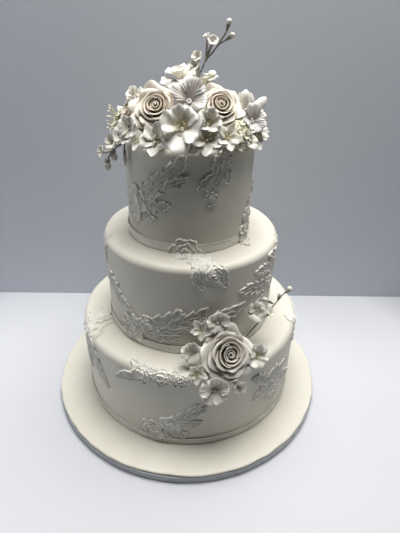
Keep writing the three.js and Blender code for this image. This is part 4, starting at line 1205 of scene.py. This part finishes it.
def flower_finish(name):
    """A flower's material and slot."""
    form = FLOWERS[name]["form"]
    if form == "rose":
        return SILVER_PASTE if name == "rose_low" else ROSE_PASTE, "rose_petals"
    if form in ("filler", "wisps"):
        return FILLER_PASTE, "filler_flowers"
    return MAUVE_SHADE_PASTE if name in MAUVE_SHADED_FLOWERS else PETAL_PASTE, "pearl_petals"


def make_flowers():
    for number, name in enumerate(FLOWERS):
        made = flower_shape(name, np.random.default_rng(FIRST_SEED["flowers"] + number))
        make_fine(name, made, *flower_finish(name))


# ---------------------------------------------------------------- sprigs

STEM_RADIUS = 0.85
CUP_RADIUS = 8.2


def sprig_blossom(place, facing, foot, radius, draw):
    placed = aim(place, facing)
    form = "cup" if radius < CUP_RADIUS else "round"
    flower = {"form": form, "radius": radius, "spin": draw.uniform(*ANY_TURN)}
    points, faces, tone = blossom_shape(flower, draw, "sprig")
    # The petals' painted shade and highlight, lifted towards the pale colour.
    pale = points, faces, np.minimum(0.7 + 0.4 * tone, 1)
    return moved(merged([pale, stalk(0.7 * radius, placed.inverted() @ Vector(foot))]), placed)


def sprig_bud(place, facing, radius, length):
    bud = bud_shape(radius, length, tone=1.0)
    calyx = bud_shape(0.75 * radius, 0.55 * length, tone=0.25)
    return moved(merged([bud, shifted(calyx, 0, 0, -0.2 * length)]), aim(place, facing))


def sprig_drop(place, facing, radius, length):
    """A dark calyx that widens to a white bud at its end."""
    share = np.linspace(0, 1, 11)
    wide = radius * np.interp(share, [0, 0.45, 0.66, 0.8, 0.93, 1], [0.3, 0.62, 0.96, 1, 0.62, 0])
    wide[0] = 0
    tone = np.where(share > 0.6, 1.0, 0.1)
    return moved(turned(np.stack([wide, share * length], axis=1), 14, tone), aim(place, facing))


def tall_sprig(draw):
    foot, fork, high = (7.5, 6, 454), (15.5, 6, 472.5), (29.5, 6, 490)
    tip, side = (37.3, 6, 501.5), (36.2, 6, 493)
    return merged([
        tube([(5.5, 5, 430), foot, (12, 6, 464.5), fork, (23, 6, 481), high, tip], STEM_RADIUS),
        sprig_drop(tip, (0.25, 0, 1), 3.3, 14),
        tube([(27, 6, 486.5), (31.5, 6, 490.5), side], STEM_RADIUS),
        sprig_drop(side, (1, 0, 0.7), 3.4, 13),
        sprig_blossom((22.4, 3, 492), (0.1, -0.8, 0.6), fork, 6.5, draw),
        sprig_blossom((16, 5, 496), (-0.4, -0.4, 0.8), fork, 4, draw),
        sprig_blossom((6.5, 3, 475.5), (-0.3, -0.7, 0.6), foot, 6.5, draw),
        sprig_blossom((4.5, 0, 467), (-0.4, -0.8, 0.4), foot, 6.5, draw),
    ])


def leaning_sprig(draw):
    edge, bend, end = (-71, -42, 394.5), (-81, -41, 388), (-89, -40, 381.5)
    low, inner = (-96.5, -40, 371), (-75.5, -44, 382)
    return merged([
        tube([(-30, -25, 408), (-50, -40, 400.5), edge, bend, end, low], STEM_RADIUS),
        tube([edge, (-75, -43.5, 389), inner], STEM_RADIUS),
        sprig_blossom((-88, -42, 390), (-0.4, -0.7, 0.5), bend, 8, draw),
        sprig_blossom((-78, -43, 397), (-0.3, -0.8, 0.4), edge, 7.5, draw),
        sprig_blossom((-100, -38, 379), (-0.9, -0.5, 0.4), end, 7, draw),
        sprig_bud(low, (-0.05, 0, -1), 4.5, 14),
        sprig_bud(end, (0.1, 0, -1), 4, 13),
        sprig_bud(inner, (0, 0, -1), 2.4, 18),
    ])


def rising_sprig(draw):
    foot, middle, end = (75, -106, 165), (98, -93.5, 188), (126, -65, 203)
    return merged([
        tube([(58, -118, 150), foot, middle, (110, -84.5, 198.5), end], STEM_RADIUS),
        sprig_drop(end, (0.75, 0.5, 0.35), 4, 14),
        sprig_drop((109, -85, 200), (-1, -0.3, 0.75), 3.2, 21),
        sprig_drop((115, -78.5, 200), (0.3, 0.2, 0.9), 3.4, 13),
        sprig_blossom((104.5, -92, 190), (0.1, -0.4, 0.9), (97, -94, 187), 6.5, draw),
        sprig_blossom((87, -97, 196), (-0.35, -0.75, 0.55), middle, 13, draw),
    ])


SPRIGS = {"sprig_tall": tall_sprig, "sprig_leaning": leaning_sprig, "sprig_rising": rising_sprig}


def make_sprigs():
    for number, (name, make) in enumerate(SPRIGS.items()):
        made = make(np.random.default_rng(FIRST_SEED["sprigs"] + number))
        make_fine(name, made, STEM_PASTE, "sprig")


# ---------------------------------------------------------------- the mounds under the flowers

# The dome under the flowers is painted dark as shade in the gaps between them.
DOME = {"sides": 48, "rings": 13, "tone": 0.2, "waves": [(1.2, 22, 51)]}
SKIRT = {"step": 10, "reach": 84.0, "rise": (3.0, 8.0), "radii": (10.0, 13.0), "room": 0.5, "tilt": 0.7}
FILLING = {"lift": 3.0, "radii": (9.5, 12.5), "room": 0.85, "tilt": 0.3}


def dome_shape(mound):
    radius, height = mound["radius"], mound["height"]
    angles = np.linspace(0, math.pi / 2, DOME["rings"] + 1)[:-1]
    profile = [(0, 0)] + [(radius * math.cos(a), height * math.sin(a)) for a in angles] + [(0, height)]
    points, faces, tone = turned(profile, DOME["sides"], DOME["tone"])
    outward = unit(points)
    held = smoothstep(0, 8, points[:, 2])
    points = points + np.array(mound["place"])
    return points + outward * (unevenness(points, DOME["waves"]) * held)[:, None], faces, tone


def clear_of_flowers(place, room):
    return all((flower["place"] - place).length > room * flower["radius"] for flower in FLOWERS.values())


def skirt_shapes(middle, draw):
    """Small blossoms that hang over the cake's top edge between the large flowers."""
    shapes = []
    for number, turn in enumerate(range(0, 360, SKIRT["step"])):
        out = direction(turn)
        place = middle + out * SKIRT["reach"] + UP * draw.uniform(*SKIRT["rise"])
        flower = small_flower(("star", "round")[number % 2], SKIRT["radii"], draw)
        made = blossom_shape(flower, draw, "small")
        if clear_of_flowers(place, SKIRT["room"]):
            shapes.append(off_icing(moved(made, aim(place, out + UP * SKIRT["tilt"]))))
    return shapes


def mound_shape(name):
    """A dome with small blossoms pushed into it wherever the large flowers leave room."""
    mound = MOUNDS[name]
    middle, radius, count = mound["place"], mound["radius"], mound["blossoms"]
    draw = np.random.default_rng(mound["seed"])
    shapes = [dome_shape(mound)]
    if name == "mound_top":
        shapes += skirt_shapes(middle, draw)
    for number in range(count):
        rise = math.asin((number + 0.5) / count)
        heading = GOLDEN_ANGLE * number
        out = Vector((math.cos(rise) * math.cos(heading), math.cos(rise) * math.sin(heading), math.sin(rise)))
        place = middle + Vector((out.x * radius, out.y * radius, out.z * mound["height"]))
        place += out * FILLING["lift"]
        if clear_of_flowers(place, FILLING["room"]):
            made = blossom_shape(small_flower("round", FILLING["radii"], draw), draw, "small")
            shapes.append(off_icing(moved(made, aim(place, out + UP * FILLING["tilt"]))))
    return merged(shapes)


make_stack()
make_laces()
make_flowers()
make_sprigs()
for mound_name in MOUNDS:
    make_fine(mound_name, mound_shape(mound_name), PETAL_PASTE, "sugarpaste")
for crack_name, crack_points in CRACKS.items():
    make_piece(crack_name, crack_shape(crack_points), CRACK_SHADE_ICING)

# ---------------------------------------------------------------- the studio

# The floor is pale paper near the cake and painted dark as shade further away, between two distances in
# metres.
FLOOR = {
    "half": 3.0, "colour": (0.68, 0.695, 0.745),
    "pale": 0.42, "grey": 0.7, "far_shade_colour": (0.16, 0.165, 0.18),
}
BACKDROP = {"behind": 0.22, "height": 0.62, "colour": (0.61, 0.64, 0.71)}
# Each light's place, size, power and colour. All of them face the middle of the cake.
LIGHTS = {
    "sky_panel": ((0.12, 0.035, 1.6), 1.1, 27, (1.0, 0.985, 0.94)),
    "left_panel": ((-1.2, 0.0, 0.5), 0.9, 3.3, (0.97, 0.985, 1.0)),
    "right_panel": ((1.2, 0.1, 0.5), 0.8, 1.4, (1.0, 0.985, 0.95)),
}
LIT_PLACE = Vector((0, 0, 0.2))
SURROUNDINGS = {"Color": (0.80, 0.82, 0.84, 1), "Strength": 0.01}
CAMERA = {"place": (0.0, -0.5321, 0.5263), "pitch": 31.25, "yaw": 1.66, "roll": 1.63}
IMAGE_SIZE = (400, 533)
FOCAL_PIXELS = 431.0
SENSOR_MM = 36.0


def paper(name, colour):
    """Matt paper, very slightly mottled."""
    material, tree, shader = new_material(name)
    set_inputs(tree, shader, {"Base Color": uneven_colour(tree, colour, 0.97, 3.0), "Roughness": 0.7})
    return material


def fading(material, near, far, colour):
    """The same paper, turning to a painted shade colour between two distances from the cake in metres."""
    tree = material.node_tree
    base_colour = tree.nodes["Principled BSDF"].inputs["Base Color"]
    place = {0: object_place(tree)}
    distance = add_node(tree, "ShaderNodeVectorMath", "Value", place, operation="LENGTH")
    spread = {"Value": distance, "From Min": near, "From Max": far}
    share = add_node(tree, "ShaderNodeMapRange", "Result", spread)
    inputs = {"Factor": share, "A": base_colour.links[0].from_socket, "B": (*colour, 1)}
    tree.links.new(mixed_colour(tree, inputs), base_colour)
    return material


def seen_from_front(material):
    """The same material, clear from behind, so that the back of the cake can be looked at."""
    tree = material.node_tree
    mixed = add_node(tree, "ShaderNodeMixShader", "Shader", {
        "Fac": add_node(tree, "ShaderNodeNewGeometry", "Backfacing"),
        1: tree.nodes["Principled BSDF"].outputs["BSDF"],
        2: add_node(tree, "ShaderNodeBsdfTransparent", "BSDF"),
    })
    tree.links.new(mixed, tree.nodes["Material Output"].inputs["Surface"])
    return material


def stage_sheet(name, edges, material):
    """A sheet as wide as the studio between two edges, each at a depth and a height in metres."""
    points = [(x, y, z) for x in (-FLOOR["half"], FLOOR["half"]) for y, z in edges]
    add_object(name, new_mesh(name, points, [(0, 2, 3, 1)], material))


def make_floor():
    half, wall = FLOOR["half"], BACKDROP["behind"]
    floor = fading(paper("floor", FLOOR["colour"]), FLOOR["pale"], FLOOR["grey"], FLOOR["far_shade_colour"])
    stage_sheet("floor", [(-half, 0), (half, 0)], floor)
    backdrop = seen_from_front(paper("backdrop", BACKDROP["colour"]))
    stage_sheet("backdrop", [(wall, 0), (wall, BACKDROP["height"])], backdrop)


def area_light(name, place, size, power, colour):
    data = bpy.data.lights.new(name, "AREA")
    data.shape = "DISK"
    data.size = size
    data.energy = power
    data.color = colour
    light = add_object(name, data)
    light.location = place
    light.rotation_euler = (LIT_PLACE - Vector(place)).to_track_quat("-Z", "Y").to_euler()


def make_lights():
    for name, values in LIGHTS.items():
        area_light(name, *values)
    world = bpy.data.worlds.new("studio")
    world.use_nodes = True
    set_inputs(world.node_tree, world.node_tree.nodes["Background"], SURROUNDINGS)
    bpy.context.scene.world = world
    bpy.context.scene.view_settings.view_transform = "Standard"
    bpy.context.scene.view_settings.look = "Medium High Contrast"


def make_camera():
    pitch, yaw, roll = (math.radians(CAMERA[key]) for key in ("pitch", "yaw", "roll"))
    forward = Vector((math.sin(yaw) * math.cos(pitch), math.cos(yaw) * math.cos(pitch), -math.sin(pitch)))
    level = forward.cross(UP).normalized()
    upright = level.cross(forward)
    right = level * math.cos(roll) + upright * math.sin(roll)
    top = upright * math.cos(roll) - level * math.sin(roll)
    data = bpy.data.cameras.new("camera")
    data.sensor_width = SENSOR_MM
    data.lens = FOCAL_PIXELS / max(IMAGE_SIZE) * SENSOR_MM
    data.clip_start = 0.01
    camera = add_object("camera", data)
    turn = Matrix((right, top, -forward)).transposed().to_4x4()
    camera.matrix_world = Matrix.Translation(CAMERA["place"]) @ turn
    bpy.context.scene.camera = camera


make_floor()
make_lights()
make_camera()
